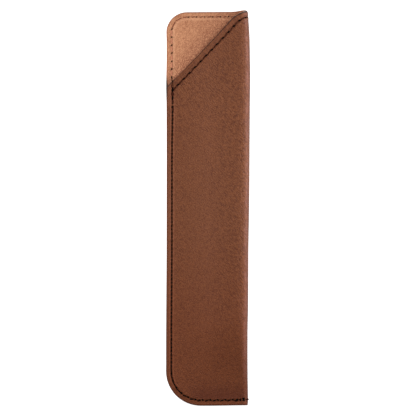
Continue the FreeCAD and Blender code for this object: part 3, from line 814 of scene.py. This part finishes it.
# Outer leather
leatherSheet = Settings(
    rowPitch=0.52,
    fineRowPitch=0.3,
    fineReach=5.2,
    cornerTurn=math.radians(5),
    edgeSteps=[0, 0.1, 0.22, 0.36, 0.52, 0.7, 0.86, 1.02, 1.2, 1.42, 1.66, 1.9, 2.14, 2.38, 2.62, 2.9,
               3.25, 3.65, 4.1, 4.65, 5.3, 6.1],
    backSteps=20,
    frontSteps=52,
    edgeRounding=0.3,
    roundReach=0.85,
    creaseInset=0.95,
    creaseReach=0.16,
    creaseDepth=0.08,
    grooveDepth=0.2,
    holeDepth=0.25,
    pucker=0.09,
    cornerRun=6,  # how far into the bottom corner the side's seam marks run on
    # Along each seam: the painted shade in the groove, the painted shade in the holes and the painted
    # highlight on the lips
    mouthShades=(0.15, 0.7, 0.08), sideShades=(0.3, 0.5, 0.7),
    lowShades=(0.0, 0.15, 0.1), backShades=(0.3, 0.7, 0.2),
    # Other shades, most of them painted shade or painted highlight: a strength, with reaches, or starts and
    # runs, in millimetres beside it
    facing=(0, 0.3),
    crease=0.12,
    rim=0.5, rimReach=0.3, rimFade=0.25, rimFadeX=(9, 6),
    # Painted shade on the fold's outermost rim, wider where the fold is pressed flat
    fold=0.75, foldReach=0.62, foldWider=0.25, foldWiderY=(-48, -18),
    # Painted shade above the bottom seam, where the panel slopes down towards it
    low=0.6, lowInset=3.3, lowReach=(5.2, 0.5), lowX=(6, 9), lowFoldGap=1.6,
    # Painted light on the strip below the bottom seam
    lowStrip=0.3, lowStripInset=1.25, lowStripReach=0.55, lowStripX=(9, 6),
    # Painted shade on the strip between the mouth edge and its seam towards the left, painted light on it
    # towards the fold
    strip=0.2, stripInset=1.35, stripReach=0.85, stripFade=(-14, 14), stripX=(2, 3),
    stripLift=0.2, stripLiftX=(0, 10),
    # Painted light beside the top of the closing seam
    besideTop=0.22, besideTopY=(-11, 5), besideTopX=(1.9, 0.5),
    mouth=0.05, mouthReach=0.2, mouthDarker=0.5, mouthDarkerX=(-12, 20),
    soot=0.85, sootInset=(0.62 + coat, -0.45), sootStart=(-6.5, 5), sootEnd=(5, -4),
    # A painted highlight along the fold's shoulder
    polish=0.17, polishGap=1.15, polishReach=(0.7, 0.45),
    lowPolish=0.04, lowPolishY=(-30, -30),  # more of it where the fold is pressed flat
    endDull=0.4, endDullY=(-64, -10),
)
sheet, sheetOut, sheetEdge, kinkRow = sheetGrid(leatherSheet)


def leatherShades(creasing, pit, lift):
    mark = leatherSheet
    x, y = sheet[..., 0], sheet[..., 1]
    fromLeft, fromBottom, fromFold = x - left, y - bottom, right - x
    aboveMouth, fromMouth = y - mouthLeftY, mouthDistance(x, y)
    facing = ramp(sheetOut[..., 2], *mark.facing)
    rim = (mark.rim - mark.rimFade * ramp(fromLeft, *mark.rimFadeX)) * bell(sheetEdge, mark.rimReach)
    # How far the painted shade on the fold's rim reaches
    foldReach = mark.foldReach + mark.foldWider * ramp(y, *mark.foldWiderY)
    # Painted shade above the bottom seam
    low = mark.low * bell(fromBottom - mark.lowInset, *mark.lowReach) * ramp(fromLeft, *mark.lowX)
    strip = bell(fromMouth - mark.stripInset, mark.stripReach) * facing
    stripShade = mark.strip * strip * (1 - ramp(x, *mark.stripFade)) * ramp(fromLeft, *mark.stripX)
    lowStrip = mark.lowStrip * bell(fromBottom - mark.lowStripInset, mark.lowStripReach)
    besideTop = ramp(aboveMouth, *mark.besideTopY) * facing * (1 - ramp(fromLeft, *mark.besideTopX))
    mouthShade = mark.mouth + mark.mouthDarker * ramp(x, *mark.mouthDarkerX)
    soot = mark.soot * ramp(outlineDistance(x, y), *mark.sootInset)
    # The painted highlight on the fold: stronger where the fold is pressed flat, weaker at the very end
    polish = mark.polish + mark.lowPolish * ramp(y, *mark.lowPolishY)
    polish = polish * (1 - mark.endDull * ramp(y, *mark.endDullY))
    return {
        # Painted shade in the edge crease, on the fold's rim, above the bottom seam and on the mouth strip,
        # with the darker edge rim
        "crease": most(mark.crease * creasing + rim, mark.fold * bell(fromFold, foldReach),
                       low * facing * (fromFold > mark.lowFoldGap), stripShade),
        "pit": most(pit, bell(fromMouth - coat, mark.mouthReach) * facing * mouthShade,
                    soot * ramp(aboveMouth, *mark.sootStart) * ramp(aboveMouth, *mark.sootEnd)),
        "lift": most(lift, lowStrip * facing * ramp(fromLeft, *mark.lowStripX), mark.besideTop * besideTop,
                     mark.stripLift * strip * ramp(x, *mark.stripLiftX)),
        "polish": polish * facing * bell(fromFold - mark.polishGap, *mark.polishReach),
    }


def outerLeather():
    look = leatherSheet
    sideEnd = np.count_nonzero(closingLine[:, 1] > bottom + lowCorner - look.cornerRun)
    onSide = closingHoles < sideEnd
    sink, pit, lift = seamMarks(sheet, sheetEdge, [
        (mouthLine, mouthHoles, *look.mouthShades),
        (closingLine[:sideEnd], closingHoles[onSide], *look.sideShades),
        (closingLine[sideEnd:], closingHoles[~onSide] - sideEnd, *look.lowShades),
        (closingBack, closingHoles, *look.backShades)], look)
    creasing = bell(sheetEdge - look.creaseInset, look.creaseReach)
    sink = sink + edgeRounding(sheetEdge, look) + look.creaseDepth * creasing
    skins = sheet - sheetOut * sink[..., None], sheet - sheetOut * caseForm.leather
    return sheetPiece("caseLeather", skins, 0, leather, leatherShades(creasing, pit, lift))


caseLeather = outerLeather()
print("leather:", sheetEdge.shape, "grid")

# Suede lining, seen on the tongue and down the pocket
liningSheet = Settings(
    rowPitch=0.75,
    fineRowPitch=0.36,
    fineReach=4.6,
    cornerTurn=math.radians(6),
    edgeSteps=[0, 0.15, 0.35, 0.6, 0.9, 1.2, 1.5, 1.75, 2.0, 2.25, 2.5, 2.85, 3.3, 3.9, 4.7],
    backSteps=22,
    frontSteps=44,
    edgeRounding=0.12,
    roundReach=0.7,
    grooveDepth=0.1,
    holeDepth=0.15,
    pucker=0.0,
    # Shades, as on the leather, most of them painted shade or painted highlight
    seamShades=(0.0, 0.18, 0.0),
    # Painted shadow of the front panel on the suede beside the mouth, darkest right at the edge; the strip
    # along the tongue's left edge is darker too
    mouthWear=0.48, mouthWearReach=5.4,
    edgeWear=0.75, edgeWearReach=1.5,
    stripWear=0.17, stripInset=(1.3, 0.7), stripWidth=6,
    # Painted shade on the tongue's left strip near the mouth's low end
    grip=0.4, gripY=(6.5, -4),
    rim=0.35, rimReach=0.3,
    soot=0.85, sootInset=(0.75, -0.45), sootY=(5, -4),
    # Painted highlight on the nap raised inside the tongue's seam
    raisedNap=0.4, raisedInset=0.8, raisedReach=0.4, backFacing=-0.5,
)


def suedeLining():
    mark = liningSheet
    suedeSheet, out, edge, _ = sheetGrid(mark)
    x, aboveMouth = suedeSheet[..., 0], suedeSheet[..., 1] - mouthLeftY
    fromMouth = mouthDistance(x, suedeSheet[..., 1])
    napSkin = suedeSheet - out * ply
    sink, pit, _ = seamMarks(napSkin, edge, [(mouthInside, mouthHoles, *mark.seamShades)], mark)
    napSkin = napSkin + out * (sink + edgeRounding(edge, mark))[..., None]
    strip = (1 - ramp(edge, *mark.stripInset)) * (x < left + mark.stripWidth)
    besideSeam = edge + coat - mouthSeam.tongueSideInset - mark.raisedInset
    soot = mark.soot * ramp(edge, *mark.sootInset) * ramp(aboveMouth, *mark.sootY)
    print("lining:", edge.shape, "grid")
    skins = suedeSheet - out * caseForm.leather, napSkin
    return sheetPiece("caseLining", skins, 1, suede, {
        "crease": most(mark.rim * bell(edge, mark.rimReach),
                       mark.grip * strip * ramp(aboveMouth, *mark.gripY)),
        # Painted shadow beside the mouth, and a darker strip by the tongue's left edge
        "wearAndShade": most(mark.mouthWear * bell(fromMouth, mark.mouthWearReach),
                     mark.edgeWear * bell(fromMouth, mark.edgeWearReach), mark.stripWear * strip),
        "pit": most(pit, soot),
        "lift": mark.raisedNap * bell(besideSeam, mark.raisedReach) * (out[..., 2] < mark.backFacing),
    })


caseLining = suedeLining()

# Edge paint along the mouth, the top and the tongue's left side
mouthPaint = Settings(
    start=0.24,
    end=ply - 0.08,
    bulges=[0.25, 0.75, 1.0, 1.0, 0.95, 0.7, 0.3],
    tuck=-0.25,
    lookIn=4,  # grid steps to the place inside that tells which way is out
    evenings=2,
    backFacing=(0.4, -0.5),
    slantX=(3, 14),
    lowSoot=0.35,
    lowTongue=0.6,
    sootY=(6.0, -4),
)


def mouthEdgePaint():
    look = mouthPaint
    lastRow, lastColumn = sheetEdge.shape[0] - 1, sheetEdge.shape[1] - 1
    walk = [(row, lastColumn) for row in range(kinkRow, lastRow)]
    walk += [(lastRow, column) for column in range(lastColumn, 0, -1)]
    walk += [(row, 0) for row in range(lastRow, kinkRow - 1, -1)]
    row, column = np.array(walk).T
    innerRow = np.where(row > lastRow - look.lookIn, row - look.lookIn, row)
    innerColumn = np.clip(column, look.lookIn, lastColumn - look.lookIn)
    edge, out = sheet[row, column], sheetOut[row, column]
    away = np.cross(np.gradient(edge, axis=0), out)
    away *= np.sign(np.einsum("ij,ij->i", away, edge - sheet[innerRow, innerColumn]))[:, None]
    away = unitLength(away)
    for _ in range(look.evenings):
        padded = np.pad(away, ((1, 1), (0, 0)), mode="edge")
        away = unitLength(padded[:-2] / 4 + padded[1:-1] / 2 + padded[2:] / 4)
    bulges = np.array(look.bulges + [look.tuck, look.tuck])
    depths = np.linspace(look.start, look.end, len(look.bulges))
    depths = np.concatenate([depths, [look.end, look.start]])
    sections = edge[:, None] - out[:, None] * depths[None, :, None]
    sections = sections + away[:, None] * (coat * bulges)[None, :, None]
    onTongue = ramp(out[:, 2], *look.backFacing) * (column < lastColumn)
    upSlant = ramp(edge[:, 0] - left, *look.slantX)
    soot = (look.lowSoot + (1 - look.lowSoot) * upSlant) * (1 - onTongue)
    return ribbonPiece("mouthEdgePaint", sections, edgePaint, {
        "tongue": most(onTongue, look.lowTongue * (1 - upSlant)),
        "soot": most(soot, ramp(edge[:, 1] - mouthLeftY, *look.sootY)),
    })


mouthEdgeStrip = mouthEdgePaint()

# Edge paint down the left side and along the bottom, over both panels and the glue line
closingPaint = Settings(
    samples=(240, 46, 60),  # down the side, around the corner and along the bottom
    steps=21,
    skin=0.2,
    thinnest=0.15,
    startGap=0.1,
    endX=right - 0.12,
    squareness=6,
    layerDip=0.25,
    glueDip=(0.5, 0.08),
    suedeDip=(0.3, 0.36, 0.06),
    flattest=0.05,
    tuck=-0.3,
    soot=0.9,
    sootY=(-6.5, 5),
)


# A line drawn in from the closed edges, with its outward ways
def closingPlan(inset, endX):
    sideSamples, cornerSamples, lowSamples = closingPaint.samples
    sideY = np.linspace(mouthLeftY - closingPaint.startGap, bottom + lowCorner, sideSamples)
    bend = np.radians(np.linspace(180, 270, cornerSamples))[1:]
    lowX = np.linspace(left + lowCorner, endX, lowSamples)[1:]
    turn = lowCorner - inset
    x = np.concatenate([np.full_like(sideY, left + inset), left + lowCorner + turn * np.cos(bend), lowX])
    y = np.concatenate([sideY, bottom + lowCorner + turn * np.sin(bend), np.full_like(lowX, bottom + inset)])
    awayX = np.concatenate([np.full_like(sideY, -1.0), np.cos(bend), np.zeros_like(lowX)])
    awayY = np.concatenate([np.zeros_like(sideY), np.sin(bend), np.full_like(lowX, -1.0)])
    return x, y, awayX, awayY


def closingEdgePaint():
    look = closingPaint
    x, y, awayX, awayY = closingPlan(coat, look.endX)
    half = np.sqrt(np.maximum(flatRadius ** 2 - np.maximum(x - flatFoldX, 0) ** 2, 0.0))
    half = np.maximum(half - look.skin, look.thinnest)
    share = np.linspace(-1, 1, look.steps)
    glueDip, glueReach = look.glueDip
    suedeDip, suedePlace, suedeReach = look.suedeDip
    layers = glueDip * bell(share, glueReach) + suedeDip * bell(np.abs(share) - suedePlace, suedeReach)
    bulge = np.maximum(1 - np.abs(share) ** look.squareness - look.layerDip * layers, look.flattest)
    away = coat * np.concatenate([bulge, [look.tuck, look.tuck]])[None, :]
    share = np.concatenate([share, [1.0, -1.0]])
    sections = np.stack([x[:, None] + awayX[:, None] * away, y[:, None] + awayY[:, None] * away,
                         marginHeight / 2 + half[:, None] * share[None, :]], axis=-1)
    return ribbonPiece("closingEdgePaint", sections, edgePaint, {
        "tongue": np.zeros(len(x)),
        "soot": ramp(y - mouthLeftY, *look.sootY) * look.soot,
    })


closingEdgeStrip = closingEdgePaint()
print("edge paint: mouth and closing strips")

# The glue line between the two linings inside the closing seam, cut along the mouth's slant at its top
glueLine = Settings(
    near=0.3,
    far=4.2,
    low=ply + 0.02,
    high=ply + bond - 0.02,
    endX=flatFoldX - 0.3,
    slantY=(-8, 8),
    slantShare=0.8,
)


def seamGlueLine():
    nearX, nearY, _, _ = closingPlan(glueLine.near, glueLine.endX)
    farX, farY, _, _ = closingPlan(glueLine.far, glueLine.endX)
    width = ramp(nearY - mouthLeftY, *glueLine.slantY) * (glueLine.far - glueLine.near)
    farY = farY + width * math.tan(mouthTurn) * glueLine.slantShare
    corners = ((nearX, nearY, "low"), (farX, farY, "low"), (farX, farY, "high"), (nearX, nearY, "high"))
    sections = [np.stack([x, y, np.full_like(x, glueLine[level])], axis=-1) for x, y, level in corners]
    return ribbonPiece("seamGlueLine", np.stack(sections, axis=1), glue)


glueStrip = seamGlueLine()

# Stitches: a twisted two-ply strand laid between needle holes by Geometry Nodes
needleLook = {"Thread thickness": 0.0005, "Twists": 1.5, "Arch": 0.0001, "Dive": 0.0004,
              "Slant jitter": 0.05, "Length jitter": 0.04, "Seed": 11}
bobbinLook = {"Thread thickness": 0.00042, "Twists": 1.5, "Arch": 0.00006, "Dive": 0.0003,
              "Slant jitter": 0.04, "Length jitter": 0.05, "Seed": 23}
plyShare = 0.27  # a ply's radius in the thread's thickness
stitchLength = 0.001  # a stitch is made a millimetre long and stretched to its hole spacing


# One stitch, arched in the middle and diving at both ends
def twistedStrand(tree, given):
    radius = given.also("Thread thickness") * plyShare
    spiral = addNode(tree, "GeometryNodeCurveSpiral", {
        "Resolution": 6, "Rotations": given.also("Twists"), "Start Radius": radius, "End Radius": radius,
        "Height": stitchLength})
    laid = addNode(tree, "GeometryNodeTransform", {
        "Geometry": spiral, "Translation": (-stitchLength / 2, 0.0, 0.0),
        "Rotation": (0.0, math.pi / 2, 0.0)})
    twin = addNode(tree, "GeometryNodeTransform", {"Geometry": laid, "Rotation": (math.pi, 0.0, 0.0)})
    both = addNode(tree, "GeometryNodeJoinGeometry", {"Geometry": [laid, twin]})
    ring = addNode(tree, "GeometryNodeCurvePrimitiveCircle", {"Resolution": 4, "Radius": radius})
    strand = addNode(tree, "GeometryNodeCurveToMesh",
                     {"Curve": both, "Profile Curve": ring, "Fill Caps": True})
    place = addNode(tree, "GeometryNodeInputPosition")
    share = addNode(tree, "ShaderNodeSeparateXYZ", {"Vector": place}, take="X") * (2 / stitchLength)
    dip = share.reckon("ABSOLUTE").reckon("POWER", 4.0)
    arch = given.also("Arch")
    lift = arch - dip * (arch + given.also("Dive"))
    marked = addNode(tree, "GeometryNodeStoreNamedAttribute",
                     {"Geometry": strand, "Name": "dip", "Value": dip}, data_type="FLOAT", domain="POINT")
    offset = addNode(tree, "ShaderNodeCombineXYZ", {"Z": lift})
    return addNode(tree, "GeometryNodeSetPosition", {"Geometry": marked, "Offset": offset})


def stitchTree():
    tree = bpy.data.node_groups.new("layStitches", "GeometryNodeTree")
    tree.interface.new_socket("Holes", in_out="INPUT", socket_type="NodeSocketGeometry")
    sockets = {}
    for label in ("Thread", *needleLook):
        kind = {"Thread": "NodeSocketMaterial", "Seed": "NodeSocketInt"}.get(label, "NodeSocketFloat")
        sockets[label] = tree.interface.new_socket(label, in_out="INPUT", socket_type=kind).identifier
    tree.interface.new_socket("Stitches", in_out="OUTPUT", socket_type="NodeSocketGeometry")
    given = addNode(tree, "NodeGroupInput")

    def named(label, kind="FLOAT"):
        return addNode(tree, "GeometryNodeInputNamedAttribute", {"Name": label}, data_type=kind)

    def spread(reach, shift):
        seed = given.also("Seed") + float(shift)
        chance = addNode(tree, "FunctionNodeRandomValue", {"Seed": seed}, take=1, data_type="FLOAT")
        return (chance - 0.5) * (reach * 2.0)

    facing = addNode(tree, "FunctionNodeAxesToRotation", {
        "Primary Axis": named("along", "FLOAT_VECTOR"), "Secondary Axis": named("out", "FLOAT_VECTOR"),
    }, primary_axis="X", secondary_axis="Z")
    slant = named("slant") + spread(given.also("Slant jitter"), 0)
    turned = addNode(tree, "ShaderNodeCombineXYZ", {"Z": slant})
    twist = addNode(tree, "FunctionNodeEulerToRotation", {"Euler": turned})
    leaning = addNode(tree, "FunctionNodeRotateRotation", {"Rotation": facing, "Rotate By": twist},
                      rotation_space="LOCAL")
    length = named("reach") * (spread(given.also("Length jitter"), 1) + 1.0)
    girth = named("girth")
    stretch = addNode(tree, "ShaderNodeCombineXYZ", {"X": length, "Y": girth, "Z": girth})
    placed = addNode(tree, "GeometryNodeInstanceOnPoints", {
        "Points": given.also("Holes"), "Instance": twistedStrand(tree, given), "Rotation": leaning,
        "Scale": stretch})
    solid = addNode(tree, "GeometryNodeRealizeInstances", {"Geometry": placed})
    even = addNode(tree, "GeometryNodeSetShadeSmooth", {"Geometry": solid})
    dyed = addNode(tree, "GeometryNodeSetMaterial", {"Geometry": even, "Material": given.also("Thread")})
    addNode(tree, "NodeGroupOutput", {"Stitches": dyed})
    return tree, sockets


layStitches, stitchSockets = stitchTree()
holeReach = 3  # line steps to each side of a hole that tell its direction


# A stitch is its middle, along, out, length in millimetres, slant in degrees, girth and darkness
def stitchRow(seam, holes, lift, fill, slant, girth=1.0, knot=0.0):
    line, out = seam
    row = []
    for first, second in zip(holes, holes[1:]):
        middle = (first + second) // 2
        along = line[second] - line[first]
        length = fill * np.linalg.norm(along)
        row.append((line[middle] + out[middle] * lift, along, out[middle], length, slant, girth, knot))
    return row


# The mark of a needle hole, where the thread dives and locks
def holeRow(seam, holes, lift, length, slant, girth=1.0, knot=1.0):
    line, out = seam
    row = []
    for hole in holes:
        along = line[min(hole + holeReach, len(line) - 1)] - line[max(hole - holeReach, 0)]
        row.append((line[hole] + out[hole] * lift, along, out[hole], length, slant, girth, knot))
    return row


# A stitch whose ends are given as x and y from a hole, and height
def oneStitch(hole, start, end, girth, knot=0.0, out=(0, 0, 1)):
    base = np.array([hole[0], hole[1], 0.0])
    along = np.subtract(end, start)
    return base + np.add(start, end) / 2, along, np.array(out), np.linalg.norm(along), 0.0, girth, knot


def sewThread(name, row, material, look):
    middles, alongs, outs, lengths, slants, girths, knots = (np.array(column) for column in zip(*row))
    points = bpy.data.meshes.new(name + "Holes")
    points.from_pydata((settle(middles) * millimetre).tolist(), [], [])
    for label, vectors in (("along", alongs), ("out", outs)):
        storeNumbers(points, label, vectors, "FLOAT_VECTOR", "vector")
    numbers = {"reach": lengths, "slant": np.radians(slants), "girth": girths, "knot": knots}
    for label, column in numbers.items():
        storeNumbers(points, label, column)
    holder = addObject(name + "Holder", points)
    modifier = holder.modifiers.new("stitches", "NODES")
    modifier.node_group = layStitches
    for label, choice in {**look, "Thread": material}.items():
        modifier[stitchSockets[label]] = choice
    graph = bpy.context.evaluated_depsgraph_get()
    mesh = bpy.data.meshes.new_from_object(holder.evaluated_get(graph), depsgraph=graph)
    mesh.name = name
    bpy.data.objects.remove(holder)
    return addObject(name, mesh)


# The mouth's needle thread: a rope of slanted stitches in front, dark marks where it shows on the suede
mouthFront, mouthBehind = (mouthLine, mouthOut), (mouthInside, -mouthOut)
markShift, dashShift = 9, 6  # line steps from a hole to what shows of it on the tongue's top
sideStart = 1.8  # how far into the corner the side's stitches begin
lyingFlat = 0.5  # the height below which the seam has left the fold
tongueTop = backHoles[mouthLine[backHoles, 0] > left + highCorner]
tongueSide = backHoles[mouthLine[backHoles, 1] < top - highCorner + sideStart]
tongueCorner = backHoles[len(tongueTop) - 1:len(backHoles) - len(tongueSide) + 1]
topMarks = tongueTop[mouthLine[tongueTop, 2] < lyingFlat] + markShift
mouthNeedleRow = [
    *stitchRow(mouthFront, frontHoles[:-1], lift=-0.02, fill=0.96, slant=10.0, girth=0.92),
    *stitchRow(mouthFront, frontHoles[-2:], lift=-0.2, fill=0.96, slant=0.0, girth=0.92),
    *holeRow(mouthFront, frontHoles[:-1], lift=0.0, length=1.3, slant=-16.0, girth=1.2),
    *stitchRow(mouthFront, backHoles, lift=-0.32, fill=0.96, slant=5.0),
    *holeRow(mouthBehind, topMarks, lift=0.0, length=0.7, slant=20.0, knot=0.85),
    *holeRow(mouthBehind, tongueSide, lift=0.0, length=0.8, slant=-25.0, girth=1.05, knot=0.85),
]
mouthNeedle = sewThread("mouthNeedleThread", mouthNeedleRow, darkThread, needleLook)
mouthBobbin = sewThread("mouthBobbinThread", [
    *stitchRow(mouthBehind, frontHoles, lift=-0.1, fill=0.8, slant=12.0, knot=0.7),
    *stitchRow(mouthBehind, tongueTop + dashShift, lift=-0.04, fill=0.5, slant=15.0, girth=1.1, knot=0.8),
    *stitchRow(mouthBehind, tongueCorner, lift=-0.06, fill=0.92, slant=0.0, girth=0.95, knot=0.8),
    *stitchRow(mouthBehind, tongueSide, lift=-0.08, fill=0.8, slant=3.0),
], tanThread, bobbinLook)

# The closing seam's needle thread: a dash between holes, a mark in each hole, and both ends worked over
closingFront, closingBehind = (closingLine, closingOut), (closingBack, -closingOut)
sideHoles = closingHoles[closingLine[closingHoles, 1] > bottom + lowCorner]
lowHoles = closingHoles[len(sideHoles) - 1:]
cornerHoles = lowHoles[closingLine[lowHoles, 0] < closingSeam.cornerEndX]
lowHoles = lowHoles[len(cornerHoles) - 1:]
lowDash, lowMark = ((closingLine + np.array([0.0, shift, 0.0]), closingOut) for shift in (-0.05, 0.2))
closingNeedleRow = [
    *stitchRow(closingFront, sideHoles[2:], lift=-0.06, fill=0.98, slant=0.0, girth=0.66, knot=0.25),
    *stitchRow(closingFront, sideHoles[2:], lift=0.0, fill=0.48, slant=-5.0, girth=1.08, knot=1.0),
    *stitchRow(closingFront, cornerHoles, lift=-0.02, fill=0.96, slant=6.0, girth=0.92, knot=0.85),
    *holeRow(closingFront, cornerHoles[1:], lift=0.0, length=0.95, slant=-8.0, girth=1.3),
    *stitchRow(lowDash, lowHoles, lift=0.03, fill=0.55, slant=22.0, girth=1.15, knot=1.0),
    *holeRow(closingFront, sideHoles[3:], lift=-0.03, length=0.85, slant=0.0, girth=1.1),
    *holeRow(lowMark, lowHoles[1:], lift=0.03, length=1.0, slant=-45.0, girth=1.4),
]
firstHole, lastHole = closingLine[0], closingLine[-1]
over, under = marginHeight + 0.08, marginHeight - 0.02
suedeEnd, edgeEnd = mouthSeam.endY - firstHole[1], mouthLeftY + 2.75 - firstHole[1]
startStitches = {  # two ends, girth, darkness and, where it isn't up, the outward way
    "onSuede": ((-0.4, suedeEnd, ply), (-0.1, edgeEnd, 2.6), 0.85, 0.6, (0, 0.5, 0.9)),
    "overEdge": ((-0.1, edgeEnd + 0.15, 2.3), (-0.1, edgeEnd, 3.9), 1.0, 0.8, (0, 1, 0.1)),
    "ontoFront": ((-0.1, edgeEnd, over), (-0.2, 2.0, over), 0.9, 0.2),
    "blob": ((0.15, 2.6, over), (0.02, 0.4, over), 1.75, 1.0),
    "loopMiddle": ((0, 0.45, over), (0, -1.15, over), 1.3, 0.0),
    "firstTack": ((0, -1.0, under), (-0.05, -2.9, under), 1.55, 1.0),
    "firstThread": ((0, -2.7, under), (0, -4.3, under), 1.3, 0.0),
    "firstMark": ((0, -3.9, under), (0, -4.6, under), 1.1, 1.0),
    "secondTack": ((-0.6, -6.3, over), (0.3, -5.35, over), 1.45, 1.0),
    "secondThread": ((0, -5.9, under), (0, -7.6, under), 1.2, 0.0),
}
closingNeedleRow += [oneStitch(firstHole, *stitch) for stitch in startStitches.values()]
loop = Settings(y=-0.35, spread=0.66, reach=1.15, bow=0.2, girth=0.8)
for side in (-loop.spread, loop.spread):
    for reach in (-loop.reach, loop.reach):
        closingNeedleRow.append(oneStitch(firstHole, (side, loop.y - loop.bow * reach, over),
                                          (0, loop.y + reach, over), loop.girth))
endKnot = Settings(  # each strand's place from the last hole, turn in degrees and length
    strands=[(-1.75, -0.2, 15, 1.7), (-1.6, 0.1, 62, 1.35), (-1.4, 0.15, 35, 1.3), (1.25, 0.75, 8, 1.2),
             (1.4, 0.35, 68, 1.5), (1.45, -0.05, 5, 1.35)],
    girth=1.2,
)
for x, y, turn, length in endKnot.strands:
    reach = np.array([math.cos(math.radians(turn)), math.sin(math.radians(turn)), 0.0]) * length / 2
    middle = np.array([x, y, over])
    closingNeedleRow.append(oneStitch(lastHole, middle - reach, middle + reach, endKnot.girth, 1.0))
nub = right - 0.05 - lastHole[0]
endStitches = {
    "lastMark": ((0, 0.7, over), (0, -0.4, over), 1.5, 1.0),
    "ontoFold": ((2.2, 0.25, marginHeight - 0.1), (nub, 0.3, 2.4), 1.1, 0.5, (0.8, 0, 0.6)),
    "foldNub": ((nub, 0.3, 2.9), (nub, 0.1, 0.8), 1.2, 0.6, (1, 0, 0)),
}
closingNeedleRow += [oneStitch(lastHole, *stitch) for stitch in endStitches.values()]
closingNeedle = sewThread("closingNeedleThread", closingNeedleRow, darkThread, needleLook)
closingBobbinRow = stitchRow(closingBehind, closingHoles, lift=-0.36, fill=0.9, slant=4.0)
closingBobbin = sewThread("closingBobbinThread", closingBobbinRow, darkThread, bobbinLook)
print("stitches:", len(mouthNeedleRow), "along the mouth,", len(closingNeedleRow), "along the closing seam")

# What each piece stands for
for piece, node, slot in (
    (caseLeather, "outer_leather", "leather"),
    (caseLining, "suede_lining", "suede"),
    (glueStrip, "seam_adhesive_strip", "adhesive"),
    (mouthEdgeStrip, "mouth_edge_coat", "edge_paint"),
    (closingEdgeStrip, "closing_edge_coat", "edge_paint"),
    (mouthNeedle, "mouth_needle_thread", "dark_thread"),
    (mouthBobbin, "mouth_bobbin_thread", "tan_thread"),
    (closingNeedle, "closing_needle_thread", "dark_thread"),
    (closingBobbin, "closing_bobbin_thread", "dark_thread"),
):
    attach(piece, "root")
    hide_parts(node)

# Floor, light and camera
studio = Settings(
    floorSize=3.0,
    floorDrop=0.0001,
    floorGlow=0.93,
    worldLevel=0.225,
    cameraPlace=(0.00017, 0.00031, 1.1),
    lens=226.8,
    sensor=36.0,
    clip=(0.05, 10.0),
    lamps={  # place, aim, width and height, power
        "topLamp": ((0.0, 0.036, 0.22), (0.0, 0.036, 0.0), (0.16, 0.16), 0.222),
        "leftLamp": ((-0.16, 0.035, 0.06), (0.0, 0.03, 0.0), (0.16, 0.06), 0.2),
        "rightLamp": ((0.16, 0.035, 0.035), (0.0, 0.03, 0.0), (0.16, 0.06), 0.27),
    },
)
white, paleGrey = (1.0, 1.0, 1.0, 1.0), (0.8, 0.8, 0.8, 1.0)


# 1 for rays that see a surface straight or by reflection, 0 for the light it sheds
def seenDirectly(tree):
    path = seen = addNode(tree, "ShaderNodeLightPath", take="Is Camera Ray")
    for label in ("Is Glossy Ray", "Is Transmission Ray"):
        seen = seen.reckon("MAXIMUM", path.also(label))
    return seen


def studioFloor():
    material = newMaterial("paleFloor")
    coated(material, {
        "Base Color": paleGrey,
        "Roughness": 0.9,
        "Specular IOR Level": 0.0,
        "Emission Color": white,
        "Emission Strength": seenDirectly(material.node_tree) * studio.floorGlow,
    })
    half = studio.floorSize / 2
    mesh = bpy.data.meshes.new("floor")
    corners = [(-half, -half, 0), (half, -half, 0), (half, half, 0), (-half, half, 0)]
    mesh.from_pydata(corners, [], [(0, 1, 2, 3)])
    mesh.materials.append(material)
    floor = addObject("floor", mesh)
    floor.location.z = -studio.floorDrop
    return floor


studioFloor()


def softLamp(name, place, aim, size, power):
    lamp = bpy.data.lights.new(name, "AREA")
    lamp.energy = power
    lamp.shape = "RECTANGLE"
    lamp.size, lamp.size_y = size
    holder = addObject(name, lamp)
    holder.location = place
    holder.rotation_mode = "QUATERNION"
    holder.rotation_quaternion = (Vector(aim) - Vector(place)).to_track_quat("-Z", "Y")


for name, lampValues in studio.lamps.items():
    softLamp(name, *lampValues)

world = bpy.data.worlds.new("studio")
world.use_nodes = True
bpy.context.scene.world = world
world.node_tree.nodes.clear()
level = remap(seenDirectly(world.node_tree), noToFull, (studio.worldLevel, 1.0))
sky = addNode(world.node_tree, "ShaderNodeBackground", {"Color": white, "Strength": level})
addNode(world.node_tree, "ShaderNodeOutputWorld", {"Surface": sky})

cameraData = bpy.data.cameras.new("photoCamera")
cameraData.lens = studio.lens
cameraData.sensor_width = studio.sensor
cameraData.clip_start, cameraData.clip_end = studio.clip
camera = addObject("photoCamera", cameraData)
camera.location = studio.cameraPlace
bpy.context.scene.camera = camera
bpy.context.scene.view_settings.view_transform = "Standard"
print("studio: floor, three lamps, camera")
